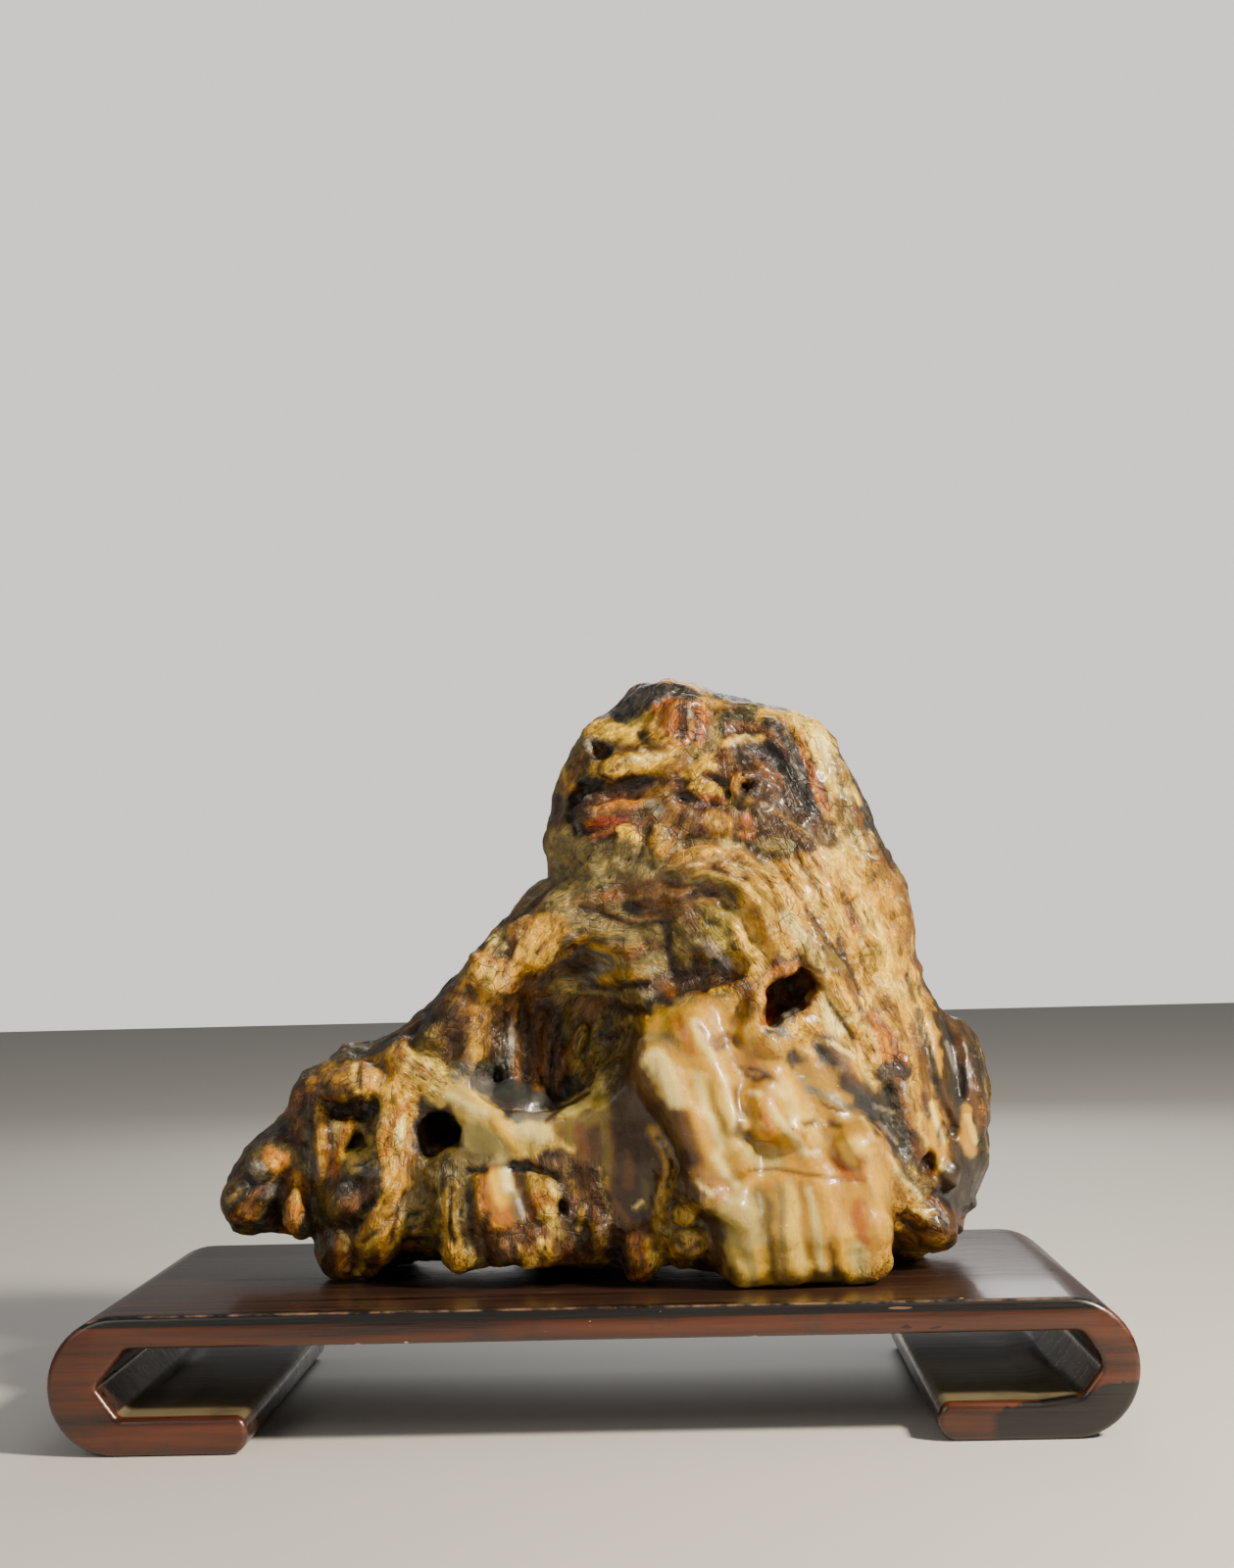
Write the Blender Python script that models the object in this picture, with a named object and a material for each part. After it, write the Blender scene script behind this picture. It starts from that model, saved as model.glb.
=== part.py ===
"""A scholars rock on its scroll stand.

Frame: X runs along the stand, Y from front to back with the front at -Y, and
Z up. The origin is on the table, under the middle of the stand. The form is
written in millimetres, and the meshes are in metres.
"""
import itertools
import math

import bmesh
import bpy
import numpy as np
from mathutils import Vector

MM = 0.001

# Stand: one board whose ends curl under as feet
STAND_LENGTH = 330.0
STAND_DEPTH = 150.0
STAND_HEIGHT = 42.0
PLANK_THICKNESS = 10.0
FOOT_THICKNESS = 11.5
FOOT_TIP = 104.0
ROLL_RADIUS = 0.5 * STAND_HEIGHT
EDGE_ROUND = 3.0

# Rock
REST_GAP = 0.3
ROCK_BOTTOM = STAND_HEIGHT + REST_GAP
GRID_STEP = 1.6
REMESH_SIZE = 1.7
ROCK_TRIANGLES = 8600
GRID_LOW = (-134.0, -70.0, 38.0)
GRID_HIGH = (140.0, 62.0, 246.0)

# The rock's outline from the front, halfway back: x and z of each corner
OUTLINE = [
    (29, 239), (36, 237), (43, 234), (57, 231), (68, 228), (76, 224), (81, 219), (88, 208),
    (96, 192), (102, 179), (108, 167), (111, 144), (113, 132), (118, 125), (125, 116),
    (129, 106), (132, 97), (132, 84), (131, 71), (128, 60), (123, 51), (114, 46), (96, 45), (30, 46),
    (-40, 47), (-84, 47), (-93, 54), (-110, 56), (-122, 57), (-126, 67), (-123, 75),
    (-118, 84), (-111, 90), (-103, 97), (-102, 102), (-98, 109), (-90, 113), (-84, 118),
    (-74, 118), (-65, 123), (-55, 131), (-44, 141), (-36, 152), (-27, 160), (-19, 168),
    (-13, 173), (-14, 188), (-11, 198), (-8, 208), (-4, 217), (1, 222), (9, 228), (17, 234),
    (22, 237),
]


ROUNDNESS = 0.88


def ramp(value, points):
    """Read a line through (value, result) points."""
    return np.interp(value, [p[0] for p in points], [p[1] for p in points])


def half_depth(x, z):
    """Half of the rock's depth, before its lumps and hollows."""
    along = ramp(x, [(-126, 25), (-70, 31), (-30, 41), (60, 45), (100, 38), (132, 27)])
    up = ramp(z, [(42, 1.0), (120, 1.0), (235, 0.74)])
    return along * up


def middle_depth(x):
    """The y of the rock's middle plane."""
    return ramp(x, [(-126, 6), (-60, 2), (0, -3), (80, -4), (104, 6), (132, 16)])


def outline_distance(x, z):
    """Signed distance to the outline in the X-Z plane, negative inside."""
    nearest = np.full(np.shape(x), 1e9)
    inside = np.zeros(np.shape(x), dtype=bool)
    corners = OUTLINE + OUTLINE[:1]
    for (ax, az), (bx, bz) in zip(corners, corners[1:]):
        run_x = bx - ax
        run_z = bz - az
        along = ((x - ax) * run_x + (z - az) * run_z) / (run_x ** 2 + run_z ** 2)
        along = np.clip(along, 0.0, 1.0)
        nearest = np.minimum(nearest, np.hypot(x - ax - along * run_x, z - az - along * run_z))
        crosses = (az > z) != (bz > z)
        if bz != az:
            inside ^= crosses & (x < ax + (z - az) * run_x / run_z)
    return np.where(inside, -nearest, nearest)


def pillow(x, y, z):
    """Distance to the outline swelled into a rounded body."""
    half = half_depth(x, z)
    radius = ROUNDNESS * half
    side = outline_distance(x, z) + radius
    face = np.abs(y - middle_depth(x)) - half + radius
    outer = np.hypot(np.maximum(side, 0.0), np.maximum(face, 0.0))
    return outer + np.minimum(np.maximum(side, face), 0.0) - radius


def skin(x, z):
    """The y of the swelled body's front at x and z."""
    half = float(half_depth(x, z))
    radius = ROUNDNESS * half
    side = float(np.clip(outline_distance(np.array(x), np.array(z)) + radius, 0.0, radius))
    return float(middle_depth(x)) - half + radius - math.sqrt(radius ** 2 - side ** 2)


def smooth_least(a, b, blend):
    """The smaller of two distances, with a fillet of about the blend's size."""
    mix = np.clip(0.5 + 0.5 * (b - a) / blend, 0.0, 1.0)
    return b + (a - b) * mix - blend * mix * (1.0 - mix)


class Field:
    """Distances to the rock's surface on a regular grid, negative inside."""

    def __init__(self, step):
        self.low = np.array(GRID_LOW)
        self.step = step
        self.count = np.ceil((np.array(GRID_HIGH) - self.low) / step).astype(int)
        axes = [self.low[i] + step * np.arange(self.count[i]) for i in range(3)]
        self.axes = axes
        x, z = np.meshgrid(axes[0], axes[2], indexing="ij")
        self.distance = pillow(x[:, None, :], axes[1][None, :, None], z[:, None, :])

    def window(self, low, high):
        """The part of the grid between two corners, with its coordinates."""
        first = np.clip(((low - self.low) / self.step).astype(int), 0, self.count)
        last = np.clip(((high - self.low) / self.step).astype(int) + 2, 0, self.count)
        part = tuple(slice(first[i], last[i]) for i in range(3))
        x = self.axes[0][part[0]][:, None, None]
        y = self.axes[1][part[1]][None, :, None]
        z = self.axes[2][part[2]][None, None, :]
        return part, x, y, z

    def apply(self, part, shape, blend, cut):
        """Join the shape to the rock, or cut it out."""
        old = self.distance[part]
        if cut:
            self.distance[part] = -smooth_least(-old, shape, blend)
        else:
            self.distance[part] = smooth_least(old, shape, blend)

    def ball(self, centre, radii, lean=0.0, blend=4.0, cut=False):
        """An ellipsoid, leaned in the X-Z plane by an angle in degrees."""
        centre = np.array(centre, dtype=float)
        reach = max(radii) + 2.0 * blend
        part, x, y, z = self.window(centre - reach, centre + reach)
        turn = math.radians(lean)
        across = (x - centre[0]) * math.cos(turn) + (z - centre[2]) * math.sin(turn)
        up = (z - centre[2]) * math.cos(turn) - (x - centre[0]) * math.sin(turn)
        back = y - centre[1]
        scaled = np.sqrt((across / radii[0]) ** 2 + (back / radii[1]) ** 2 + (up / radii[2]) ** 2)
        slope = np.sqrt((across / radii[0] ** 2) ** 2 + (back / radii[1] ** 2) ** 2
                        + (up / radii[2] ** 2) ** 2)
        shape = scaled * (scaled - 1.0) / np.maximum(slope, 1e-6)
        self.apply(part, shape, blend, cut)

    def rod(self, points, blend=3.0, cut=False):
        """Round bars from point to point; each point is x, y, z and radius."""
        points = np.array(points, dtype=float)
        reach = points[:, 3].max() + 2.0 * blend
        low = points[:, :3].min(axis=0) - reach
        high = points[:, :3].max(axis=0) + reach
        part, x, y, z = self.window(low, high)
        shape = None
        for start, end in zip(points, points[1:]):
            run = end[:3] - start[:3]
            along = (x - start[0]) * run[0] + (y - start[1]) * run[1] + (z - start[2]) * run[2]
            along = np.clip(along / run.dot(run), 0.0, 1.0)
            away = np.sqrt((x - start[0] - along * run[0]) ** 2
                           + (y - start[1] - along * run[1]) ** 2
                           + (z - start[2] - along * run[2]) ** 2)
            bar = away - start[3] - along * (end[3] - start[3])
            shape = bar if shape is None else smooth_least(shape, bar, 2.0)
        self.apply(part, shape, blend, cut)

    def lump(self, x, z, radii, out=0.0, lean=0.0, blend=4.0):
        """A lump on the front, its centre in front of the skin by out."""
        self.ball((x, skin(x, z) - out, z), radii, lean, blend)

    def pit(self, x, z, radii, out=0.0, lean=0.0, blend=2.0):
        """A hollow in the front, its centre in front of the skin by out."""
        self.ball((x, skin(x, z) - out, z), radii, lean, blend, cut=True)

    def ridge(self, points, radius, out=0.0, blend=3.0):
        """A raised bar along the front through x, z points."""
        self.rod([(x, skin(x, z) - out, z, radius) for x, z in points], blend)

    def groove(self, points, radius, out=0.0, blend=2.0):
        """A channel along the front through x, z points."""
        self.rod([(x, skin(x, z) - out, z, radius) for x, z in points], blend, cut=True)


def shape_back(rock):
    """The back: broad lumps, furrows, and the pads that it rests on."""
    swells = [((40, 30, 190), (30, 14, 30)), ((70, 32, 130), (32, 16, 42)),
              ((-20, 30, 110), (38, 13, 26)), ((10, 36, 72), (44, 14, 26)),
              ((-86, 24, 82), (26, 12, 20))]
    for centre, radii in swells:
        rock.ball(centre, radii, 20, 9.0)
    hollows = [((8, 46, 142), (13, 12, 22)), ((98, 44, 84), (10, 12, 20)),
               ((-54, 40, 72), (10, 14, 16)), ((56, 50, 98), (16, 10, 9)),
               ((60, 40, 214), (9, 9, 15))]
    for centre, radii in hollows:
        rock.ball(centre, radii, -15, 5.0, cut=True)
    pads = [(-72, 18, 11), (-10, 30, 14), (58, 28, 15), (100, 12, 11)]
    for x, y, radius in pads:
        rock.ball((x, y, 50), (radius, radius, 11), 0, 6.0)


def shape_right(rock):
    """The right body: a deep bean-shaped hole, long furrows and the flank."""
    for y, size in [(-50, 1.0), (-42, 0.95), (-34, 0.85), (-28, 0.6)]:
        bean = [(71, y, 138, 6.0 * size), (64, y, 133, 7.5 * size), (58, y, 126, 5.5 * size)]
        rock.rod(bean, 1.0, cut=True)
    rock.ridge([(54, 131), (52, 122), (59, 117)], 3.0, 1.0)
    rock.groove([(83, 170), (90, 150), (94, 128), (99, 112)], 3.0, 1.2, 4.0)
    rock.groove([(77, 138), (85, 118), (94, 100), (100, 84)], 3.0, 1.2, 4.0)
    rock.groove([(72, 118), (80, 104), (90, 94)], 2.6, 1.0, 3.0)
    rock.pit(99, 96, (5, 3, 11), 1.0, -12)
    rock.pit(94, 87, (4, 3, 7), 1.0, 20)
    rock.pit(109, 77, (3.5, 6, 4.5), 0.0)
    rock.lump(115, 73, (5, 5, 6), -1.0, 10, 2.0)
    rock.lump(108, 57, (10, 8, 9), -2.0)
    rock.ball((120, 10, 92), (13, 24, 30), -6, 6.0)
    rock.groove([(112, 134), (110, 122), (111, 110), (114, 98), (119, 86)], 2.2, 0.3, 1.5)
    rock.groove([(117, 126), (121, 112), (122, 98)], 1.6, 0.6, 2.5)


def shape_back(rock):
    """The back: broad lumps, furrows, and the pads that it rests on."""
    swells = [((40, 30, 190), (30, 14, 30)), ((70, 32, 130), (32, 16, 42)),
              ((-20, 30, 110), (38, 13, 26)), ((10, 36, 72), (44, 14, 26)),
              ((-86, 24, 82), (26, 12, 20))]
    for centre, radii in swells:
        rock.ball(centre, radii, 20, 9.0)
    hollows = [((8, 46, 142), (13, 12, 22)), ((98, 44, 84), (10, 12, 20)),
               ((-54, 40, 72), (10, 14, 16)), ((56, 50, 98), (16, 10, 9)),
               ((60, 40, 214), (9, 9, 15))]
    for centre, radii in hollows:
        rock.ball(centre, radii, -15, 5.0, cut=True)
    pads = [(-72, 18, 11), (-10, 30, 14), (58, 28, 15), (100, 12, 11)]
    for x, y, radius in pads:
        rock.ball((x, y, 50), (radius, radius, 11), 0, 6.0)


def shape_right(rock):
    """The right body: a deep bean-shaped hole, long furrows and the flank."""
    for y, size in [(-50, 1.0), (-42, 0.95), (-34, 0.85), (-28, 0.6)]:
        bean = [(71, y, 138, 6.0 * size), (64, y, 133, 7.5 * size), (58, y, 126, 5.5 * size)]
        rock.rod(bean, 1.0, cut=True)
    rock.ridge([(54, 131), (52, 122), (59, 117)], 3.0, 1.0)
    rock.groove([(83, 170), (90, 150), (94, 128), (99, 112)], 3.0, 1.2, 4.0)
    rock.groove([(77, 138), (85, 118), (94, 100), (100, 84)], 3.0, 1.2, 4.0)
    rock.groove([(72, 118), (80, 104), (90, 94)], 2.6, 1.0, 3.0)
    rock.pit(99, 96, (5, 3, 11), 1.0, -12)
    rock.pit(94, 87, (4, 3, 7), 1.0, 20)
    rock.pit(109, 77, (3.5, 6, 4.5), 0.0)
    rock.lump(115, 73, (5, 5, 6), -1.0, 10, 2.0)
    rock.lump(108, 57, (10, 8, 9), -2.0)
    rock.ball((120, 10, 92), (13, 24, 30), -6, 6.0)
    rock.groove([(112, 134), (110, 122), (111, 110), (114, 98), (119, 86)], 2.2, 0.3, 1.5)
    rock.groove([(117, 126), (121, 112), (122, 98)], 1.6, 0.6, 2.5)


def shape_back(rock):
    """The back: broad lumps, furrows, and the pads that it rests on."""
    swells = [((40, 30, 190), (30, 14, 30)), ((70, 32, 130), (32, 16, 42)),
              ((-20, 30, 110), (38, 13, 26)), ((10, 36, 72), (44, 14, 26)),
              ((-86, 24, 82), (26, 12, 20))]
    for centre, radii in swells:
        rock.ball(centre, radii, 20, 9.0)
    hollows = [((8, 46, 142), (13, 12, 22)), ((98, 44, 84), (10, 12, 20)),
               ((-54, 40, 72), (10, 14, 16)), ((56, 50, 98), (16, 10, 9)),
               ((60, 40, 214), (9, 9, 15))]
    for centre, radii in hollows:
        rock.ball(centre, radii, -15, 5.0, cut=True)
    pads = [(-72, 18, 11), (-10, 30, 14), (58, 28, 15), (100, 12, 11)]
    for x, y, radius in pads:
        rock.ball((x, y, 50), (radius, radius, 11), 0, 6.0)


def shape_right(rock):
    """The right body: a deep bean-shaped hole, long furrows and the flank."""
    for y, size in [(-50, 1.0), (-43, 0.95), (-36, 0.75)]:
        bean = [(71, y, 138, 6.0 * size), (64, y, 133, 7.5 * size), (58, y, 126, 5.5 * size)]
        rock.rod(bean, 1.0, cut=True)
    rock.ridge([(54, 131), (52, 122), (59, 117)], 3.0, 1.0)
    rock.groove([(83, 170), (90, 150), (94, 128), (99, 112)], 3.0, 1.2, 4.0)
    rock.groove([(77, 138), (85, 118), (94, 100), (100, 84)], 3.0, 1.2, 4.0)
    rock.groove([(72, 118), (80, 104), (90, 94)], 2.6, 1.0, 3.0)
    rock.pit(99, 96, (5, 3, 11), 1.0, -12)
    rock.pit(94, 87, (4, 3, 7), 1.0, 20)
    rock.pit(109, 77, (3.5, 6, 4.5), 0.0)
    rock.lump(115, 73, (5, 5, 6), -1.0, 10, 2.0)
    rock.lump(108, 57, (10, 8, 9), -2.0)
    rock.ball((120, 10, 92), (13, 24, 30), -6, 6.0)
    rock.groove([(112, 134), (110, 122), (111, 110), (114, 98), (119, 86)], 2.2, 0.3, 1.5)
    rock.groove([(117, 126), (121, 112), (122, 98)], 1.6, 0.6, 2.5)


def shape_hump(rock):
    """The large wax-like hump at the lower right, and its fused lobes."""
    rock.ball((36, -28, 106), (22, 24, 25), 15, 6.0)
    rock.ball((68, -30, 68), (25, 24, 27), 0, 8.0)
    folds = [[(19, -43, 117, 8), (26, -48, 108, 8.5), (33, -52, 94, 7.5), (37, -52, 80, 7),
              (38, -50, 72, 6)],
             [(33, -46, 123, 8), (40, -50, 107, 7), (45, -53, 94, 6), (47, -53, 82, 5.5)],
             [(48, -41, 120, 7), (57, -47, 106, 7), (64, -50, 92, 6)]]
    for fold in folds:
        rock.rod(fold, 5.0)
    rock.rod([(31, -50, 73, 5), (38, -54, 70, 5.5), (46, -54, 67, 5), (49, -51, 75, 4)], 3.0)
    rock.ball((55, -53, 97), (7, 7, 9), 15, 3.0)
    rock.ball((84, -42, 85), (9, 13, 9), 0, 4.0)
    for x, y, radius in [(49, -46, 9.5), (61, -48, 8.5), (73, -48, 8.0), (84, -45, 9.5)]:
        rock.rod([(x, y + 2, 72, radius), (x, y, 60, radius), (x, y + 2, 51.5, radius)], 5.0)
    rock.ball((54, -62, 74), (4, 7, 4.5), -20, 3.0, cut=True)
    rock.ball((49, -64, 90), (4, 6, 3.0), 30, 2.0, cut=True)
    rock.rod([(36, -62, 108, 2.5), (39, -63, 96, 2.5), (42, -63, 84, 2)], 4.0, cut=True)
    rock.rod([(48, -59, 106, 2), (50, -60, 98, 2.5)], 3.0, cut=True)


def shape_bowl(rock):
    """The cave-like hollow, its rim and the bridge in front of it."""
    rock.ball((12, -60, 150), (31, 26, 28), 20, 8.0, cut=True)
    rock.ball((38, -60, 148), (13, 16, 14), 0, 6.0, cut=True)
    above_hump = [(6, -42, 131, 5), (18, -43, 138, 7), (32, -44, 141, 7), (46, -44, 142, 5.5)]
    rock.rod(above_hump, 3.0, cut=True)
    rock.ball((-5, -40, 135), (20, 24, 18), 35, 6.0, cut=True)
    rock.ball((-8, -36, 122), (25, 25, 25), 35, 6.0, cut=True)
    rock.ball((-20, -22, 120), (13, 15, 18), 25, 3.0, cut=True)
    rock.ball((-21, -28, 106), (18, 22, 11), -12, 4.0, cut=True)
    strands = [[(-26, -12, 132, 2), (-29, -10, 118, 3.4), (-26, -11, 104, 2.6)],
               [(-16, -10, 139, 2), (-21, -6, 120, 3.6), (-20, -9, 104, 2.6)],
               [(-6, -14, 136, 2), (-13, -7, 118, 3.2), (-13, -10, 103, 2.5)],
               [(-2, -15, 124, 2), (-6, -13, 111, 2.6)]]
    for strand in strands:
        rock.rod(strand, 3.0)
    rock.ball((-27, -15, 96), (15, 13, 9), 8, 4.0)
    rim = [(-8, -27, 160, 7), (-18, -28, 152, 8), (-30, -28, 142, 9), (-39, -27, 131, 8),
           (-48, -27, 122, 8)]
    rock.rod(rim, 4.0)
    rock.ball((-31, -34, 141), (6, 6, 9), 40, 3.0)
    rock.ball((-41, -31, 128), (6, 6, 9), 30, 3.0)
    rock.ball((-19, -32, 150), (7, 5, 8), 40, 3.0)
    rock.rod([(-6, -24, 149, 4), (-17, -23, 140, 6), (-25, -22, 128, 6)], 1.5, cut=True)
    rock.rod([(4, -42, 131, 2), (16, -44, 130, 2.6), (27, -46, 132, 2.6)], 1.5, cut=True)
    bridge = [(-58, -24, 112, 9), (-46, -30, 104, 6), (-37, -34, 97, 5), (-27, -37, 91, 6),
              (-12, -36, 89, 7), (2, -35, 93, 8), (12, -34, 106, 8)]
    rock.rod(bridge, 3.0)


def shape_head(rock):
    """The top: a knob, a dark crevice, blocks and a curled band."""
    rock.lump(33, 224, (9, 4, 7), -1.5, 0, 4.0)
    rock.groove([(19, 220), (24, 228), (33, 232), (43, 228), (45, 218)], 1.5, 0.9, 2.0)
    rock.pit(6, 214, (4.5, 5, 3.2), 0.0, -40, 1.0)
    rock.lump(16, 208, (11, 4, 4.5), -1.6, 8, 2.0)
    rock.groove([(-4, 199), (3, 203), (9, 200), (15, 201), (25, 203)], 3.4, 0.8, 1.2)
    rock.groove([(-4, 200), (-5, 193), (-3, 187)], 1.6, 0.8, 1.0)
    rock.lump(10, 193, (12, 4, 3.0), -1.4, 5, 2.0)
    rock.lump(39, 205, (7, 4, 5), -1.4, 15, 2.0)
    rock.groove([(28, 198), (34, 196), (39, 196)], 1.8, 0.8, 1.0)
    rock.ball((54, skin(54, 199), 199), (4.6, 3, 5.5), -15, 2.0)
    rock.pit(54, 200, (2.2, 4, 3.0), 2.0, -15, 0.8)
    rock.pit(48.5, 198, (1.2, 4, 2.0), 1.5, 0, 0.8)
    rock.pit(54, 219, (9, 3, 3.0), 1.2, 5, 2.0)
    rock.groove([(58, 212), (64, 203), (70, 193)], 5.0, 3.8, 4.0)
    rock.ridge([(62, 220), (68, 210), (73, 199), (78, 190)], 2.6, -0.8, 3.0)
    rock.groove([(67, 222), (74, 207), (78, 195), (83, 181)], 1.4, 0.9, 2.0)
    rock.ridge([(76, 220), (82, 205), (87, 188), (93, 174), (102, 152)], 4.0, -2.2, 4.0)
    rock.lump(40, 187, (12, 4, 7), -2.2, 0, 3.0)
    rock.groove([(30, 194), (42, 195), (50, 194)], 1.2, 0.6, 1.0)
    rock.lump(15, 184, (5, 4, 5), -1.0, 0, 2.0)
    rock.lump(24, 182, (4, 4, 6), -1.2, 0, 2.0)
    rock.ridge([(31, 173), (40, 177), (52, 173), (61, 165), (63, 152)], 5.0, -2.0, 5.0)
    rock.groove([(28, 170), (36, 169), (46, 163), (53, 152)], 3.0, 0.8, 3.0)
    rock.groove([(34, 182), (46, 183), (60, 176), (68, 164), (71, 152)], 1.6, 1.0, 2.0)
    rock.ridge([(66, 160), (73, 146), (82, 130)], 4.0, -2.0, 3.0)


def shape_left(rock):
    """The left lobe: a brow over an eye-like pit, ribs, pillar and foot."""
    rock.lump(-75, 107, (15, 9, 6), 2.0, 6, 2.0)
    rock.lump(-61, 115, (8, 8, 7), 0.0, 30)
    rock.pit(-80, 97, (7, 4.5, 2.6), 0.0, -10)
    rock.groove([(-72, 95), (-66, 101), (-61, 108)], 2.2, 0.5)
    rock.pit(-77, 88, (3.4, 4, 4), 0.0)
    rock.ridge([(-90, 102), (-88, 90), (-87, 76)], 3.2, 0.0)
    rock.ridge([(-62, 102), (-65, 90), (-67, 76), (-68, 62)], 6.5, 1.0)
    rock.lump(-75, 81, (7, 6, 6), 0.5, 0, 2.0)
    rock.lump(-78, 70, (8, 7, 8), 0.5, 0, 2.0)
    rock.lump(-97, 66, (5, 6, 9), 0.0, 10, 2.0)
    rock.lump(-106, 80, (8, 7, 9), -1.0, -20)
    rock.lump(-115, 69, (8, 8, 8), -2.0)
    rock.groove([(-92, 92), (-94, 78), (-91, 64)], 3.0, 0.5)
    rock.groove([(-100, 76), (-105, 66), (-103, 56)], 3.0, 0.5)
    rock.lump(-71, 57, (9, 9, 9), 0.0)
    rock.ball((-84, -9, 52), (8, 12, 11), 10, 4.0)
    rock.ball((-76, -12, 50), (6, 8, 8), 0, 3.0)


def shape_lower_middle(rock):
    """The wall under the bridge: its skirt, bumps, strands and feet."""
    skirt = [(-41, -27, 62, 13), (-22, -28, 62, 14), (0, -28, 62, 14), (20, -29, 62, 14),
             (36, -33, 60, 13)]
    rock.rod(skirt, 8.0)
    rock.rod([(-47, -46, 91, 6), (-48, -30, 91, 7), (-46, -8, 92, 6)], 2.0, cut=True)
    rock.ball((-49, -38, 86), (7, 14, 5), 20, 2.0, cut=True)
    cleft = [(-54, -42, 80, 3), (-54, -38, 72, 4), (-56, -36, 62, 5), (-56, -32, 50, 6)]
    rock.rod(cleft, 3.0, cut=True)
    rock.rod([(-44, -33, 80, 6), (-44, -35, 66, 6.5), (-43, -34, 53, 7)], 5.0)
    rock.rod([(-40, -42.5, 81, 1), (-33, -43, 80.5, 1)], 1.0, cut=True)
    rock.rod([(-26, -43, 81, 1.2), (-19, -44, 81, 2.0), (-12, -43, 77.5, 1.5)], 1.2, cut=True)
    rock.ball((-31, -38, 70), (7, 7, 11), 5, 5.0)
    rock.ball((-15, -39, 71), (6, 6, 7), 0, 3.0)
    rock.ball((-9, -45, 68), (1.6, 5, 3), 0, 1.0, cut=True)
    rock.ball((-22, -38, 55), (10, 6, 6), 0, 4.0)
    rock.ball((3, -42, 60), (3.2, 3.5, 7), -22, 1.5)
    rock.ball((15, -36, 51), (6.5, 9, 9), 0, 3.0)
    strand = [(21, -44, 93, 1.8), (25, -46, 86, 2.2), (25, -46, 79, 2.2), (22, -44, 72, 2),
              (22, -44, 62, 2.2), (31, -46, 61, 2)]
    rock.rod(strand, 1.5)
    rock.ball((31, -46, 56.5), (6, 6, 5.5), 0, 1.5)
    rock.ball((30, -45, 65), (5, 5, 3.5), 0, 1.5)
    rock.rod([(26, -54, 70, 3), (34, -56, 65, 3), (42, -56, 61, 3)], 3.0, cut=True)


def shape_underside(rock):
    """Shallow arches that lift the bottom edge off the stand."""
    for x, width in [(-24, 17), (1, 8), (30, 9), (-104, 16)]:
        rock.ball((x, -38, 41), (width, 26, 5.5), 0, 2.0, cut=True)


def noise(points, size, seed):
    """Smooth noise from -1 to 1, with lumps of about the given size."""
    count = 32
    table = np.random.default_rng(seed).uniform(-1.0, 1.0, (count, count, count))
    place = points / size
    cell = np.floor(place).astype(int)
    part = place - cell
    part = part * part * (3.0 - 2.0 * part)
    total = np.zeros(len(points))
    for corner in itertools.product((0, 1), repeat=3):
        weight = np.prod(np.where(corner, part, 1.0 - part), axis=1)
        index = (cell + corner) % count
        total += weight * table[index[:, 0], index[:, 1], index[:, 2]]
    return total


def facets(points, size, seed, crispness=9.0):
    """Tilted planes like those of broken stone, from about -1 to 1."""
    count = 24
    chance = np.random.default_rng(seed)
    jitter = chance.uniform(0.1, 0.9, (count, count, count, 3))
    tilt = chance.uniform(-1.0, 1.0, (count, count, count, 3))
    place = points / size
    cell = np.floor(place).astype(int)
    total = np.zeros(len(points))
    weights = np.zeros(len(points))
    for offset in itertools.product((-1, 0, 1), repeat=3):
        near = cell + offset
        index = tuple((near % count).T)
        away = place - near - jitter[index]
        weight = np.exp(-crispness * np.sqrt((away ** 2).sum(axis=1)))
        total += weight * (away * tilt[index]).sum(axis=1) * 1.6
        weights += weight
    return total / weights


def patch(points, x, z, wide, tall, soft=0.35):
    """1 inside an ellipse seen from the front, fading to 0 past its edge."""
    away = np.hypot((points[:, 0] - x) / wide, (points[:, 2] - z) / tall)
    return np.clip((1.0 + soft - away) / soft, 0.0, 1.0)


def add_relief(points, normals):
    """Move the surface along its normals: facets, lumps and long grain."""
    front = np.clip(0.6 - normals[:, 1], 0.0, 1.0)
    polished = np.zeros(len(points))
    for x, z, wide, tall in [(36, 104, 22, 28), (66, 76, 30, 38), (-30, 95, 20, 12),
                             (126, 88, 10, 34), (2, 88, 16, 22)]:
        polished = np.maximum(polished, patch(points, x, z, wide, tall) * front)
    rough = 1.0 - 0.8 * polished
    grain = noise(points * (1.0, 1.0, 0.22), 7.0, 4)
    shift = rough * (1.1 * facets(points, 15.0, 1) + 0.6 * facets(points, 7.0, 2))
    shift += 0.8 * noise(points, 16.0, 3) + rough * 0.4 * grain
    return points + normals * shift[:, None]


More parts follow.
